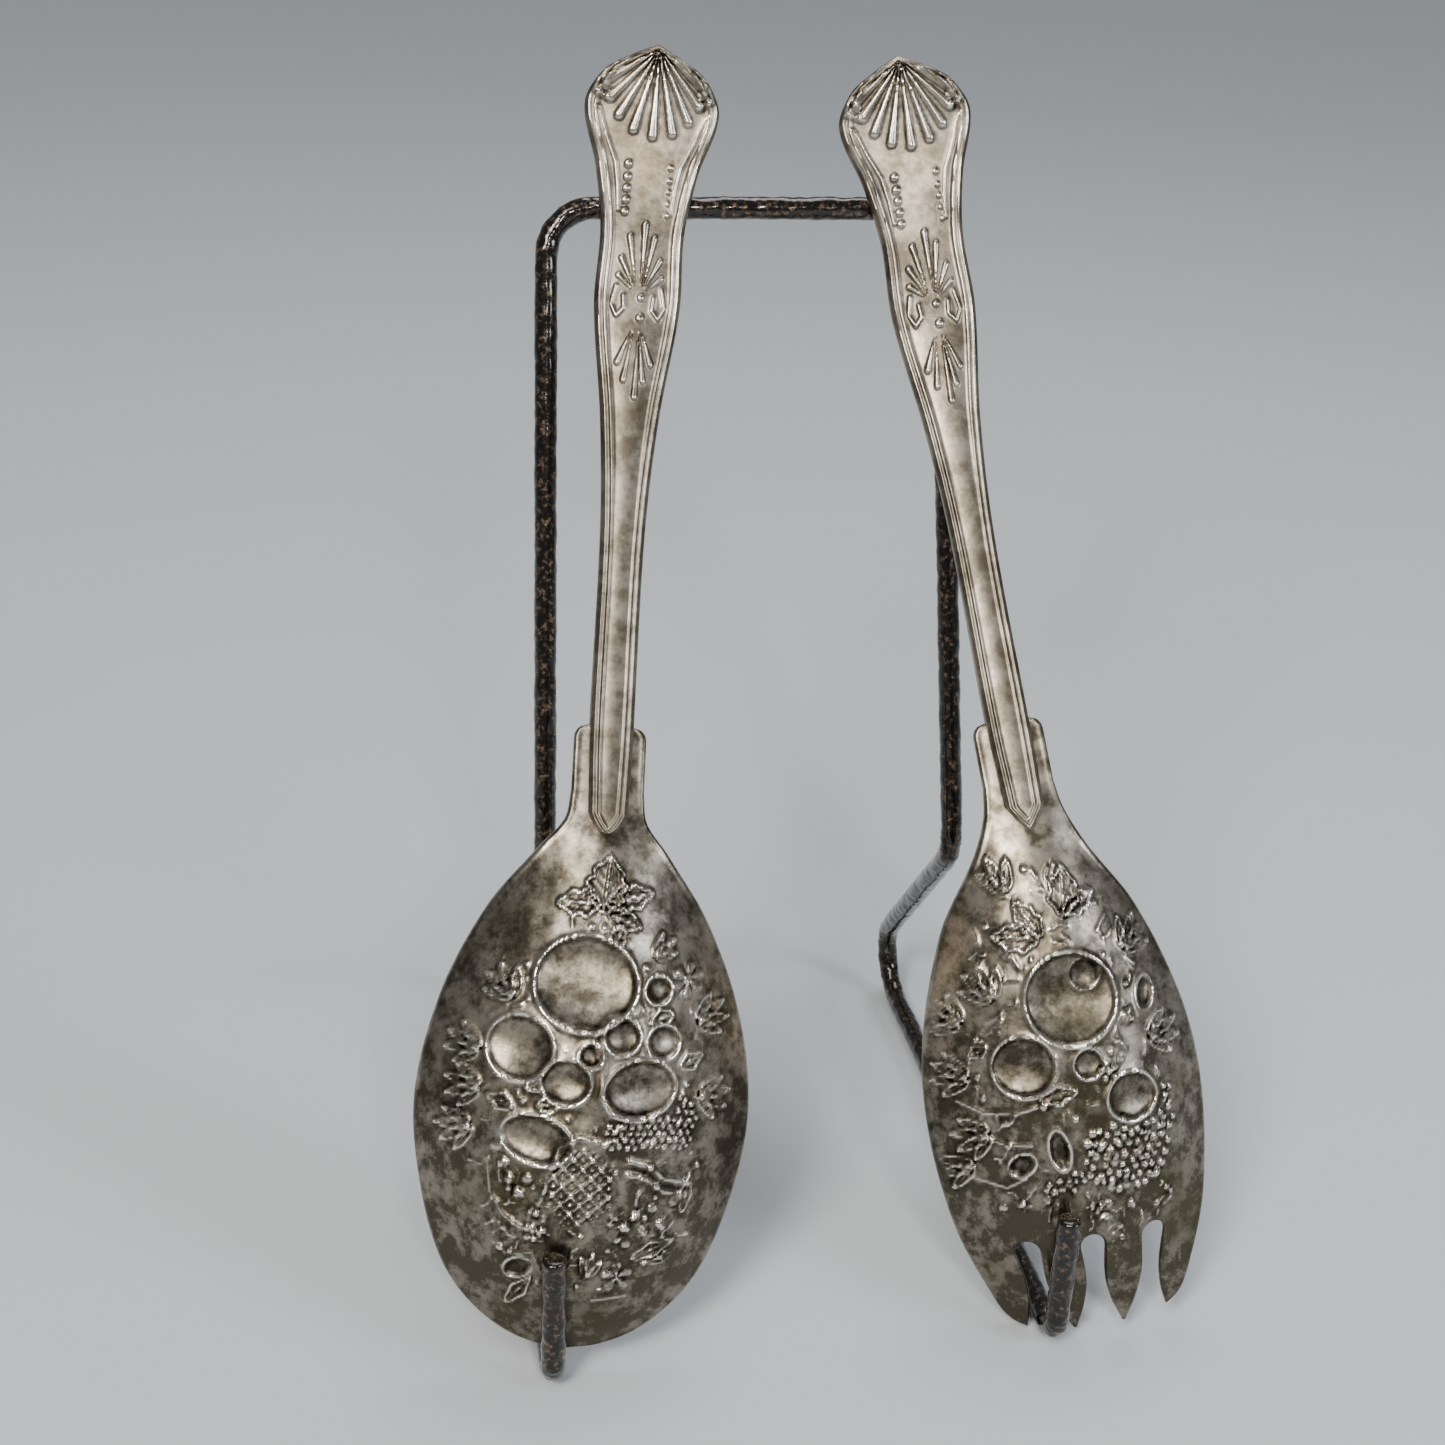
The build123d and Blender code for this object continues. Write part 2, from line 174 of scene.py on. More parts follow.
# ---- finishes --------------------------------------------------------------------------------
@dataclass(frozen=True)
class TarnishedSilver:
    """Old silver plate: struck, polished by use on its high points, black-brown in its recesses."""

    name: str = "tarnished_silver_handles"
    polished: str = "#a1988a"
    rubbed: str = "#e0d8cb"
    dull: str = "#60584c"
    warm: str = "#655840"
    patina: str = "#15110d"
    blotch_mm: float = 7.0
    grain_mm: float = 0.9      # tool marks and wear; really finer, drawn coarse enough to show
    recess_mm: float = 0.30    # depth below its surroundings at which the patina is full
    painted_low_shade: float = 0.0   # painted shade: darker towards the bottom, for the darker reflections low on the bowls
    shade_full_below_mm: float = 15.0   # heights above the table between which that painted shade fades out
    shade_gone_above_mm: float = 62.0

    def build(self) -> bpy.types.Material:
        """Makes the material.

        Returns:
            A metal that darkens by the piece's own "recess" attribute, in millimetres, and by painted
            shade towards the bottom.
        """
        material, tree = blank_material(self.name)
        place = node(tree, "ShaderNodeTexCoord", {}, {}).outputs["Object"]
        blotch = node(tree, "ShaderNodeTexNoise", {}, {
            "Vector": place, "Scale": per_size(self.blotch_mm), "Detail": 8.0, "Roughness": 0.7})
        grain = node(tree, "ShaderNodeTexNoise", {}, {
            "Vector": place, "Scale": per_size(self.grain_mm), "Detail": 6.0, "Roughness": 0.65})
        stain = node(tree, "ShaderNodeTexNoise", {}, {
            "Vector": place, "Scale": per_size(3.1 * self.blotch_mm), "Detail": 3.0})
        recess = node(tree, "ShaderNodeAttribute", {"attribute_name": "recess"}, {}).outputs["Fac"]
        tarnish = node(tree, "ShaderNodeMapRange", {"interpolation_type": "SMOOTHSTEP"}, {
            "Value": blotch.outputs["Fac"], "From Min": 0.36, "From Max": 0.64})
        warmth = node(tree, "ShaderNodeMapRange", {"interpolation_type": "SMOOTHSTEP"}, {
            "Value": stain.outputs["Fac"], "From Min": 0.5, "From Max": 0.72, "To Max": 0.55})
        worn = node(tree, "ShaderNodeMapRange", {"interpolation_type": "SMOOTHSTEP"}, {
            "Value": recess, "From Min": -0.03, "From Max": -0.20})
        uneven = node(tree, "ShaderNodeMath", {"operation": "MULTIPLY_ADD"}, {
            0: grain.outputs["Fac"], 1: 0.22, 2: recess})
        deep = node(tree, "ShaderNodeMapRange", {"interpolation_type": "SMOOTHSTEP"}, {
            "Value": uneven.outputs[0], "From Min": 0.10, "From Max": 0.10 + self.recess_mm})
        # Painted shade: the finish darkens towards the table by its height in the frame, standing in for
        # the darker reflections on the bowls' lower half; it is added to the random tarnish.
        height = node(tree, "ShaderNodeSeparateXYZ", {}, {0: place}).outputs["Z"]
        low = node(tree, "ShaderNodeMapRange", {"interpolation_type": "SMOOTHSTEP"}, {
            "Value": height, "From Min": self.shade_gone_above_mm * MM, "From Max": self.shade_full_below_mm * MM,
            "To Max": self.painted_low_shade})
        tarnish_and_painted_shade = node(tree, "ShaderNodeMath", {"operation": "ADD", "use_clamp": True}, {
            0: tarnish.outputs[0], 1: low.outputs[0]})
        body = node(tree, "ShaderNodeMix", {"data_type": "RGBA"}, {
            0: tarnish_and_painted_shade.outputs[0], 6: linear(self.polished), 7: linear(self.dull)})
        stained = node(tree, "ShaderNodeMix", {"data_type": "RGBA"}, {
            0: warmth.outputs[0], 6: body.outputs[2], 7: linear(self.warm)})
        rubbed = node(tree, "ShaderNodeMix", {"data_type": "RGBA"}, {
            0: worn.outputs[0], 6: stained.outputs[2], 7: linear(self.rubbed)})
        dark = node(tree, "ShaderNodeMix", {"data_type": "RGBA"}, {
            0: deep.outputs[0], 6: rubbed.outputs[2], 7: linear(self.patina)})
        gloss = node(tree, "ShaderNodeMapRange", {}, {
            "Value": uneven.outputs[0], "From Min": -0.1, "From Max": 0.4,
            "To Min": 0.17, "To Max": 0.56})
        bump = node(tree, "ShaderNodeBump", {}, {
            "Height": grain.outputs["Fac"], "Strength": 0.28, "Distance": 0.12 * MM})
        shader = node(tree, "ShaderNodeBsdfPrincipled", {}, {
            "Base Color": dark.outputs[2], "Metallic": 1.0, "Roughness": gloss.outputs[0],
            "Normal": bump.outputs[0]})
        close_material(tree, shader)
        return material


@dataclass(frozen=True)
class HammeredBronzePaint:
    """Hammer-effect enamel on steel rod: almost black, glossy, with bronze flecks on its lumps."""

    ground: str = "#120d0a"
    fleck: str = "#76604a"
    fleck_mm: float = 1.0
    grain_mm: float = 0.5

    def build(self) -> bpy.types.Material:
        """Makes the material.

        Returns:
            A coated paint with its flecks and its orange-peel grain.
        """
        material, tree = blank_material("hammered_bronze_paint")
        place = node(tree, "ShaderNodeTexCoord", {}, {}).outputs["Object"]
        cells = node(tree, "ShaderNodeTexNoise", {}, {
            "Vector": place, "Scale": per_size(self.fleck_mm), "Detail": 4.0, "Roughness": 0.6})
        grain = node(tree, "ShaderNodeTexNoise", {}, {
            "Vector": place, "Scale": per_size(self.grain_mm), "Detail": 2.0})
        amount = node(tree, "ShaderNodeMapRange", {"interpolation_type": "SMOOTHSTEP"}, {
            "Value": cells.outputs["Fac"], "From Min": 0.50, "From Max": 0.70, "To Max": 0.8})
        colour = node(tree, "ShaderNodeMix", {"data_type": "RGBA"}, {
            0: amount.outputs[0], 6: linear(self.ground), 7: linear(self.fleck)})
        gloss = node(tree, "ShaderNodeMapRange", {}, {
            "Value": cells.outputs["Fac"], "From Min": 0.3, "From Max": 0.7,
            "To Min": 0.12, "To Max": 0.30})
        bump = node(tree, "ShaderNodeBump", {}, {
            "Height": grain.outputs["Fac"], "Strength": 0.35, "Distance": 0.1 * MM})
        shader = node(tree, "ShaderNodeBsdfPrincipled", {}, {
            "Base Color": colour.outputs[2], "Metallic": 0.6, "Roughness": gloss.outputs[0],
            "Normal": bump.outputs[0], "Coat Weight": 0.6, "Coat Roughness": 0.08})
        close_material(tree, shader)
        return material


@dataclass(frozen=True)
class MattPaper:
    """Plain pale seamless paper: no gloss, hardly any grain."""

    shade: str = "#b8bdc1"
    grain_mm: float = 2.5

    def build(self) -> bpy.types.Material:
        """Makes the material.

        Returns:
            A rough pale grey.
        """
        material, tree = blank_material("matt_paper")
        place = node(tree, "ShaderNodeTexCoord", {}, {}).outputs["Object"]
        grain = node(tree, "ShaderNodeTexNoise", {}, {
            "Vector": place, "Scale": per_size(self.grain_mm), "Detail": 3.0})
        bump = node(tree, "ShaderNodeBump", {}, {
            "Height": grain.outputs["Fac"], "Strength": 0.08, "Distance": 0.2 * MM})
        shader = node(tree, "ShaderNodeBsdfPrincipled", {}, {
            "Base Color": linear(self.shade), "Roughness": 0.85, "Normal": bump.outputs[0]})
        close_material(tree, shader)
        return material


# ---- struck ornament -------------------------------------------------------------------------
class Relief:
    """Heights struck into a surface, drawn in millimetres over a grid of points."""

    RIM_LINE = 0.38        # half width of the line round a hollow
    RIM_GROWTH = 0.010     # what that gains for each millimetre of the hollow's half size
    SHOULDER = 2.2         # how far outside a hollow the ground still rises to its rim
    LEAF_EDGE = 0.30       # half widths of a leaf's edge and of its middle vein
    VEIN = 0.27
    SIDE_VEINS = 1.6       # from one side vein to the next
    SPRAY_STEP = 27.0      # degrees from one leaf of a spray to the next
    FILLER_TOP = 0.45      # no filler stands higher than this

    def __init__(self, x: np.ndarray, y: np.ndarray) -> None:
        """Starts with a plain surface.

        Args:
            x, y: the grid's places in the pattern.
        """
        self.x, self.y = x, y
        self.height = np.zeros_like(x)
        self.quiet = np.ones_like(x)    # where filler may lie
        self.clear = np.ones_like(x)    # where leaves may lie

    def framed(self, start: Pair, end: Pair) -> tuple[np.ndarray, np.ndarray, float]:
        """Measures the grid from a line.

        Args:
            start, end: the line's ends.

        Returns:
            Distances along it and across it, and its length.
        """
        length = hypot(end[0] - start[0], end[1] - start[1])
        ux, uy = (end[0] - start[0]) / length, (end[1] - start[1]) / length
        dx, dy = self.x - start[0], self.y - start[1]
        return dx * ux + dy * uy, dy * ux - dx * uy, length

    def bead(self, x: float, y: float, radius: float, height: float) -> None:
        """A round bead."""
        share = ((self.x - x) ** 2 + (self.y - y) ** 2) / radius**2
        self.height += height * np.sqrt(np.clip(1 - share, 0, 1))

    def hollow(self, x: float, y: float, rx: float, ry: float, depth: float, rim: float,
               turn: float = 0.0) -> None:
        """The back of an embossed fruit: a dish with a raised rim.

        Args:
            x, y: its middle.
            rx, ry: its half sizes.
            depth: how deep it is.
            rim: how high its rim stands.
            turn: degrees that it is turned by.
        """
        c, s = cos(radians(turn)), sin(radians(turn))
        dx, dy = self.x - x, self.y - y
        share = np.hypot((dx * c + dy * s) / rx, (dy * c - dx * s) / ry)
        size = min(rx, ry)
        beyond = (share - 1) * size
        self.height -= depth * np.clip(1 - share**2, 0, 1) ** 0.9
        line = self.RIM_LINE + self.RIM_GROWTH * size
        self.height += 0.72 * rim * np.exp(-(beyond / line) ** 2)
        shoulder = np.exp(-(np.maximum(beyond, 0) / self.SHOULDER) ** 2)
        self.height += 0.35 * rim * shoulder * (beyond > 0)
        self.height += 0.35 * rim * np.exp(-(np.minimum(beyond, 0) / 0.4) ** 2) * (beyond <= 0)
        self.quiet = np.minimum(self.quiet, np.clip((beyond - 0.7) / 0.8, 0, 1))
        self.clear = np.minimum(self.clear, np.clip((beyond - 0.2) / 0.4, 0, 1))

    def thread(self, points: list[Pair], width: float, height: float) -> None:
        """A raised line.

        Args:
            points: what it runs through.
            width: half its width.
            height: how high it stands.
        """
        nearest = np.full_like(self.x, np.inf)
        for start, end in zip(points, points[1:]):
            along, across, length = self.framed(start, end)
            over = along - np.clip(along, 0, length)
            nearest = np.minimum(nearest, np.hypot(over, across))
        self.height += height * np.exp(-(nearest / width) ** 2)

    def drop(self, start: Pair, end: Pair, width: float, height: float) -> None:
        """A lobe that widens from its start to a round end.

        Args:
            start, end: its root and the middle of its round end.
            width: half its width at that end.
            height: how high it stands.
        """
        along, across, length = self.framed(start, end)
        half = width * np.clip(along / length, 0.02, 1)
        share = np.hypot(across, np.maximum(along - length, 0)) / half
        lobe = height * np.sqrt(np.clip(1 - share**2, 0, 1))
        self.height += np.where(along > 0, lobe, 0)

    def leaf(self, start: Pair, end: Pair, width: float, height: float, lobes: int = 3) -> None:
        """A pointed leaf: raised edge and veins, sunk between them, with a scalloped outline.

        Args:
            start, end: its root and its point.
            width: half its width.
            height: how high its edge stands.
            lobes: how many scallops each side has.
        """
        along, across, length = self.framed(start, end)
        t = np.clip(along / length, 0, 1)
        half = width * np.sin(pi * t**0.85) ** 0.8 * (1 + 0.16 * np.cos(2 * pi * lobes * t))
        past = np.abs(across) - half
        rib = np.exp(-(past / self.LEAF_EDGE) ** 2)
        rib += 0.8 * np.exp(-(across / self.VEIN) ** 2) * (past < 0)
        slant = np.cos(2 * pi * (along - 0.9 * np.abs(across)) / self.SIDE_VEINS)
        rib += 0.30 * np.clip(slant, 0, 1) ** 2 * (past < -0.2)
        sunk = 0.35 * np.clip(-past / 0.8, 0, 1)
        inside = (along > -0.2) & (along < length + 0.2)
        self.height += np.where(inside, height * (rib - sunk), 0) * self.clear
        self.quiet = np.where(inside & (past < 0.5), 0.0, self.quiet)

    def spray(self, x: float, y: float, towards: float, count: int, reach: float) -> None:
        """Narrow leaves that fan out from a point.

        Args:
            x, y: the point.
            towards: the direction of the fan's middle, in degrees.
            count: how many leaves.
            reach: length of the middle one.
        """
        for i in range(count):
            off_middle = i - (count - 1) / 2
            angle = radians(towards + off_middle * self.SPRAY_STEP)
            length = reach * (1 - 0.13 * abs(off_middle))
            tip = (x + length * cos(angle), y + length * sin(angle))
            root = (x + 0.12 * (tip[0] - x), y + 0.12 * (tip[1] - y))
            self.leaf(root, tip, 0.125 * reach, 0.46, 1)

    def flower(self, x: float, y: float, radius: float, petals: int) -> None:
        """Round petals about a bead.

        Args:
            x, y: its middle.
            radius: of the whole flower.
            petals: how many.
        """
        for i in range(petals):
            angle = 2 * pi * i / petals + 0.4
            end = (x + 0.68 * radius * cos(angle), y + 0.68 * radius * sin(angle))
            self.drop((x, y), end, 0.30 * radius, 0.42)
        self.bead(x, y, 0.26 * radius, 0.35)

    def bead_field(self, corners: list[Pair], pitch: float, radius: float, height: float,
                   wander: float = 0.12) -> None:
        """Beads packed inside a polygon, in staggered rows.

        Args:
            corners: the polygon.
            pitch: bead to bead.
            radius: of a bead.
            height: of a bead.
            wander: how far a bead is from its place, as a share of the pitch.
        """
        rng = np.random.default_rng(7)
        xs, ys = [c[0] for c in corners], [c[1] for c in corners]
        row, y = 0, min(ys)
        while y <= max(ys):
            x = min(xs) + (row % 2) * pitch / 2
            while x <= max(xs):
                if inside_polygon(x, y, corners):
                    shift = rng.uniform(-wander, wander, 2) * pitch
                    at = (x + shift[0], y + shift[1])
                    self.bead(*at, radius * rng.uniform(0.7, 1.15), height)
                    near = np.hypot(self.x - at[0], self.y - at[1]) < 1.2 * pitch
                    self.quiet = np.where(near, 0.0, self.quiet)
                x += pitch
            y += 0.87 * pitch
            row += 1

    def filler(self, x: float, y: float, rx: float, ry: float, count: int, seed: int) -> None:
        """Small curls, stems and dots that fill the ground between the fruit.

        Args:
            x, y: the middle of the oval that they lie in.
            rx, ry: its half sizes.
            count: how many.
            seed: of the draw.
        """
        rng = np.random.default_rng(seed)
        ground = Relief(self.x, self.y)
        for _ in range(count):
            angle, reach = rng.uniform(0, 2 * pi), sqrt(rng.uniform(0.02, 1))
            px, py = x + rx * reach * cos(angle), y + ry * reach * sin(angle)
            turn, bend, length = rng.uniform(0, 2 * pi), rng.uniform(-1.2, 1.2), rng.uniform(0.8, 1.7)
            mid = (px + length * cos(turn), py + length * sin(turn))
            far = (mid[0] + length * cos(turn + bend), mid[1] + length * sin(turn + bend))
            ground.thread([(px, py), mid, far], 0.30, rng.uniform(0.14, 0.34))
            if rng.uniform() < 0.5:
                ground.bead(far[0], far[1], rng.uniform(0.45, 0.65), 0.32)
        self.height += self.quiet * np.minimum(ground.height, self.FILLER_TOP)

    def diamonds(self, x: float, y: float, rx: float, ry: float, pitch: float) -> None:
        """A pineapple's skin: crossed ridges with a bead in each diamond, in an oval.

        Args:
            x, y: the oval's middle.
            rx, ry: its half sizes.
            pitch: from one ridge to the next, measured across the pattern.
        """
        dx, dy = self.x - x, self.y - y
        mask = np.clip(4 * (1 - (dx / rx) ** 2 - (dy / ry) ** 2), 0, 1)
        up, down = (dx + dy) / pitch, (dx - dy) / pitch
        ridge = np.maximum(np.cos(2 * pi * up), np.cos(2 * pi * down))
        eye = np.maximum(np.cos(2 * pi * (up + 0.5)) * np.cos(2 * pi * (down + 0.5)), 0) ** 2
        self.quiet = self.quiet * (1 - mask)
        self.height += mask * (0.34 * np.clip(ridge, 0, 1) ** 4 + 0.42 * eye - 0.20)


def inside_polygon(x: float, y: float, corners: list[Pair]) -> bool:
    """Tests a point against a polygon.

    Args:
        x, y: the point.
        corners: the polygon's.

    Returns:
        Whether it is inside.
    """
    inside = False
    for (ax, ay), (bx, by) in zip(corners, corners[1:] + corners[:1]):
        if (ay > y) != (by > y) and x < ax + (y - ay) / (by - ay) * (bx - ax):
            inside = not inside
    return inside


@dataclass
class Plate:
    """A struck piece as a grid over its plan, in a server's own millimetres."""

    x: np.ndarray
    y: np.ndarray
    back: np.ndarray            # height of the back, and of the side below it
    under: np.ndarray
    recess: np.ndarray          # how far each point of the back lies below what is round it
    under_recess: np.ndarray
    cut: np.ndarray             # which cells are open, by their first corner

    def strike(self, name: str, place: Matrix) -> bpy.types.Object:
        """Makes the closed mesh.

        Args:
            name: the object's name.
            place: from the server's millimetres to the frame's metres.

        Returns:
            The object, at the origin, with its place in its mesh.
        """
        rows, columns = self.x.shape
        bm = bmesh.new()
        bmesh.ops.create_grid(bm, x_segments=columns - 1, y_segments=rows - 1, size=1)
        gone = []
        for face in bm.faces:
            middle = face.calc_center_median()
            column = int((middle.x + 1) / 2 * (columns - 1))
            row = int((middle.y + 1) / 2 * (rows - 1))
            if self.cut[row, column]:
                gone.append(face)
        recess = bm.verts.layers.float.new("recess")
        floor = bm.verts.layers.float.new("floor")
        floor_recess = bm.verts.layers.float.new("floor_recess")
        for vert in bm.verts:
            column = round((vert.co.x + 1) / 2 * (columns - 1))
            row = round((vert.co.y + 1) / 2 * (rows - 1))
            vert[recess] = self.recess[row, column]
            vert[floor] = self.under[row, column]
            vert[floor_recess] = self.under_recess[row, column]
            vert.co = (self.x[row, column], self.y[row, column], self.back[row, column])
        bmesh.ops.delete(bm, geom=gone, context="FACES")
        bmesh.ops.remove_doubles(bm, verts=bm.verts, dist=WELD_MM)
        loose_edges = [edge for edge in bm.edges if not edge.link_faces]
        bmesh.ops.delete(bm, geom=loose_edges, context="EDGES")
        loose_verts = [vert for vert in bm.verts if not vert.link_faces]
        bmesh.ops.delete(bm, geom=loose_verts, context="VERTS")
        lower = bmesh.ops.extrude_face_region(bm, geom=bm.faces[:], use_keep_orig=True)["geom"]
        for item in lower:
            if isinstance(item, bmesh.types.BMVert):
                item.co.z = item[floor]
                item[recess] = item[floor_recess]
        for spare in ("floor", "floor_recess"):
            bm.verts.layers.float.remove(bm.verts.layers.float[spare])
        bmesh.ops.recalc_face_normals(bm, faces=bm.faces)
        bmesh.ops.transform(bm, matrix=place, verts=bm.verts)
        return finished(bm, name)


def finished(bm: bmesh.types.BMesh, name: str) -> bpy.types.Object:
    """Turns a bmesh to an object, smooth except at its hard edges.

    Args:
        bm: the bmesh, which is used up.
        name: the object's name.

    Returns:
        The object, at the origin.
    """
    for face in bm.faces:
        face.smooth = True
    mesh = bpy.data.meshes.new(name)
    bm.to_mesh(mesh)
    bm.free()
    mesh.set_sharp_from_angle(angle=radians(SHARP_DEGREES))
    piece = bpy.data.objects.new(name, mesh)
    bpy.context.scene.collection.objects.link(piece)
    return piece


def edge_fall(distance: np.ndarray, radius: float) -> np.ndarray:
    """How far a rounded edge has fallen at a distance in from it."""
    share = np.clip(1 - distance / radius, 0, 1)
    return radius * (1 - np.sqrt(1 - share**2))


# ---- a server --------------------------------------------------------------------------------
# Curl of a bowl's sides from its middle to its neck, alike on the spoon and the fork.
UPPER_CURL = [(0.53, 1.02), (0.69, 1.22), (0.80, 1.47), (0.87, 1.6), (0.96, 1.2), (1.06, 0.55),
              (1.17, 0.43)]


class FootDrop(Enum):
    """The end of the handle's foot on the bowl's neck: the power by which it widens."""

    ROUND = 0.45
    POINTED = 0.85


@dataclass
class Handle:
    """A die-struck handle with a shell at its end, threaded edges and two leaf ornaments."""

    foot_y: float                  # where the stem meets the foot's drop
    neck_z: float                  # height of the underside there
    drop: float                    # length of the foot's drop
    foot: FootDrop
    length: float = 136.5
    width: float = 24.2            # across the shell
    waist: float = 15.4
    stem: float = 7.6
    stem_thick: float = 3.3
    end_thick: float = 2.2
    foot_thin: float = 0.9         # how much thinner than the stem the drop is
    sink: float = 17.6             # from the neck down to the lowest point
    lift: float = 3.0              # and up again to the end
    crown_stem: float = 0.8        # how much higher the back is in its middle, at the stem
    crown_end: float = 0.6         # and at the shell
    threads: tuple[Triple, ...] = ((0.75, 0.30, 0.30), (1.75, 0.24, 0.28))  # inset, height, half width
    panel_sink: float = 0.30       # how far the ground inside the threads is struck down
    panel_from: float = 0.38       # where along the handle that starts
    struck: float = 0.55           # depth of the die's pattern
    face_share: float = 0.6        # how deep the face is struck, against the back
    face_from: float = 20.0        # the face is plain up to here, over the neck
    edge_round: float = 0.45
    drawn_length: float = 130.3    # the length that the pattern is drawn for
    columns: int = 82
    rows: int = 540

    def half_width(self, y: np.ndarray) -> np.ndarray:
        """Sets out the handle's outline.

        Args:
            y: places along the server.

        Returns:
            Half the handle's width at each.
        """
        stem, waist, wide = self.stem / 2, self.waist / 2, self.width / 2
        line = SmoothLine([(0.0, 0.9 * stem), (0.10, stem), (0.36, 1.04 * stem),
                           (0.51, 0.68 * waist), (0.66, waist), (0.76, 0.98 * waist),
                           (0.84, 0.76 * wide), (0.92, wide), (0.962, 0.76 * wide),
                           (0.984, 0.38 * wide), (1.0, 0.0)])
        flank = line((y - self.foot_y) / self.length)
        share = np.clip((y - self.foot_y + self.drop) / self.drop, 0, 1)
        return np.maximum(np.where(share < 1, 0.9 * stem * share**self.foot.value, flank), 0)

    def ornament(self, relief: Relief) -> None:
        """Draws the shell, the scrolls and the two leaf ornaments.

        Args:
            relief: where to draw, with y from the handle's end towards the foot.
        """
        for i in range(9):
            angle = radians(-56 + 14 * i)
            reach = 9.4 + 4.8 * cos(angle) ** 3
            tip = (0.3 + reach * sin(angle), 0.9 + reach * cos(angle))
            relief.drop((0.3, 0.9), tip, 0.92, 0.55)
        for side in (-1, 1):
            relief.thread([(side * 3.0 + 0.3, 2.6), (side * 6.6, 3.4), (side * 9.6, 5.6),
                           (side * 10.0, 8.4), (side * 8.0, 9.4)], 0.42, 0.42)
            relief.bead(side * 8.2, 7.6, 0.8, 0.4)
            relief.thread([(side * 9.2, 11.0), (side * 7.6, 15.5), (side * 5.6, 20.0),
                           (side * 4.9, 24.0), (side * 4.6, 28.0)], 0.36, 0.34)
            relief.thread([(side * 3.9, 41.0), (side * 4.6, 44.2), (side * 3.6, 46.2),
                           (side * 2.4, 44.8), (side * 2.6, 42.6)], 0.36, 0.38)
            relief.drop((side * 0.5, 48.6), (side * 1.7, 57.2), 0.58, 0.42)
            relief.drop((side * 0.8, 48.4), (side * 2.9, 54.2), 0.58, 0.42)
            relief.drop((side * 0.9, 41.3), (side * 3.3, 36.2), 0.62, 0.46)
            relief.drop((side * 0.6, 41.3), (side * 2.1, 32.4), 0.62, 0.5)
            relief.drop((side * 1.0, 41.7), (side * 3.7, 39.2), 0.55, 0.42)
        for y in (20.1, 22.3, 24.2, 26.2, 28.2):
            relief.bead(-3.4, y, 0.8, 0.42)
            relief.bead(3.9, y, 0.55, 0.30)
        relief.drop((0.3, 41.4), (0.4, 30.2), 0.7, 0.52)
        relief.bead(0.5, 46.3, 0.85, 0.45)
        relief.bead(0.4, 42.8, 0.7, 0.4)
        relief.drop((0.4, 48.6), (0.4, 60.0), 0.62, 0.45)

    def plate(self) -> Plate:
        """The struck handle as a grid.

        Returns:
            The grid, in the server's own millimetres.
        """
        end = self.foot_y + self.length
        t = np.linspace(0, 1, self.rows + 1)[:, None]
        u = np.linspace(-1, 1, self.columns + 1)[None, :]
        y = (self.foot_y - self.drop + (self.length + self.drop) * t) + 0 * u
        half = self.half_width(y)
        x = u * half
        shares = [(-0.06, -0.12), (0.0, 0.0), (0.10, 0.24), (0.23, 0.48), (0.38, 0.70),
                  (0.54, 0.88), (0.69, 0.98), (0.80, 1.0)]
        line = [(s, -drop * self.sink) for s, drop in shares]
        line += [(0.89, 0.3 * self.lift - self.sink), (1.0, self.lift - self.sink)]
        along = (y - self.foot_y) / self.length
        under = self.neck_z + SmoothLine(line)(along)
        middle_thick = (self.stem_thick + self.end_thick) / 2
        thick = SmoothLine([(-0.06, self.stem_thick - self.foot_thin), (0.0, self.stem_thick),
                            (0.5, middle_thick), (1.0, self.end_thick)])(along)
        crown_stem = self.crown_stem / (self.stem / 2) ** 2
        crown_end = self.crown_end / (self.width / 2) ** 2
        crown = SmoothLine([(0, crown_stem), (0.4, crown_stem), (0.7, 3 * crown_end),
                            (1.0, crown_end)])(along)
        scale = self.drawn_length / self.length
        relief = Relief(x * scale, (end - y) * scale)
        self.ornament(relief)
        inset = half - np.abs(x)
        threads = sum(height * np.exp(-((inset - at) / half_wide) ** 2)
                      for at, height, half_wide in self.threads)
        relief.height += threads * np.clip((end - y) / 2.5, 0, 1)
        panel = np.clip((inset - 2.0) / 0.6, 0, 1) * np.clip(6 * (along - self.panel_from), 0, 1)
        relief.height -= self.panel_sink * panel
        recess = blurred(relief.height, 10) - relief.height
        back = under + thick - crown * x**2 + relief.height - edge_fall(inset, self.edge_round)
        face = np.clip((y - self.foot_y - self.face_from) / 5, 0, 1)
        below = self.struck - np.clip(relief.height, -self.panel_sink, self.struck)
        under = under + face * self.face_share * below
        cut = np.zeros(x.shape, bool)
        return Plate(x, y, back, under, recess, face * recess, cut)


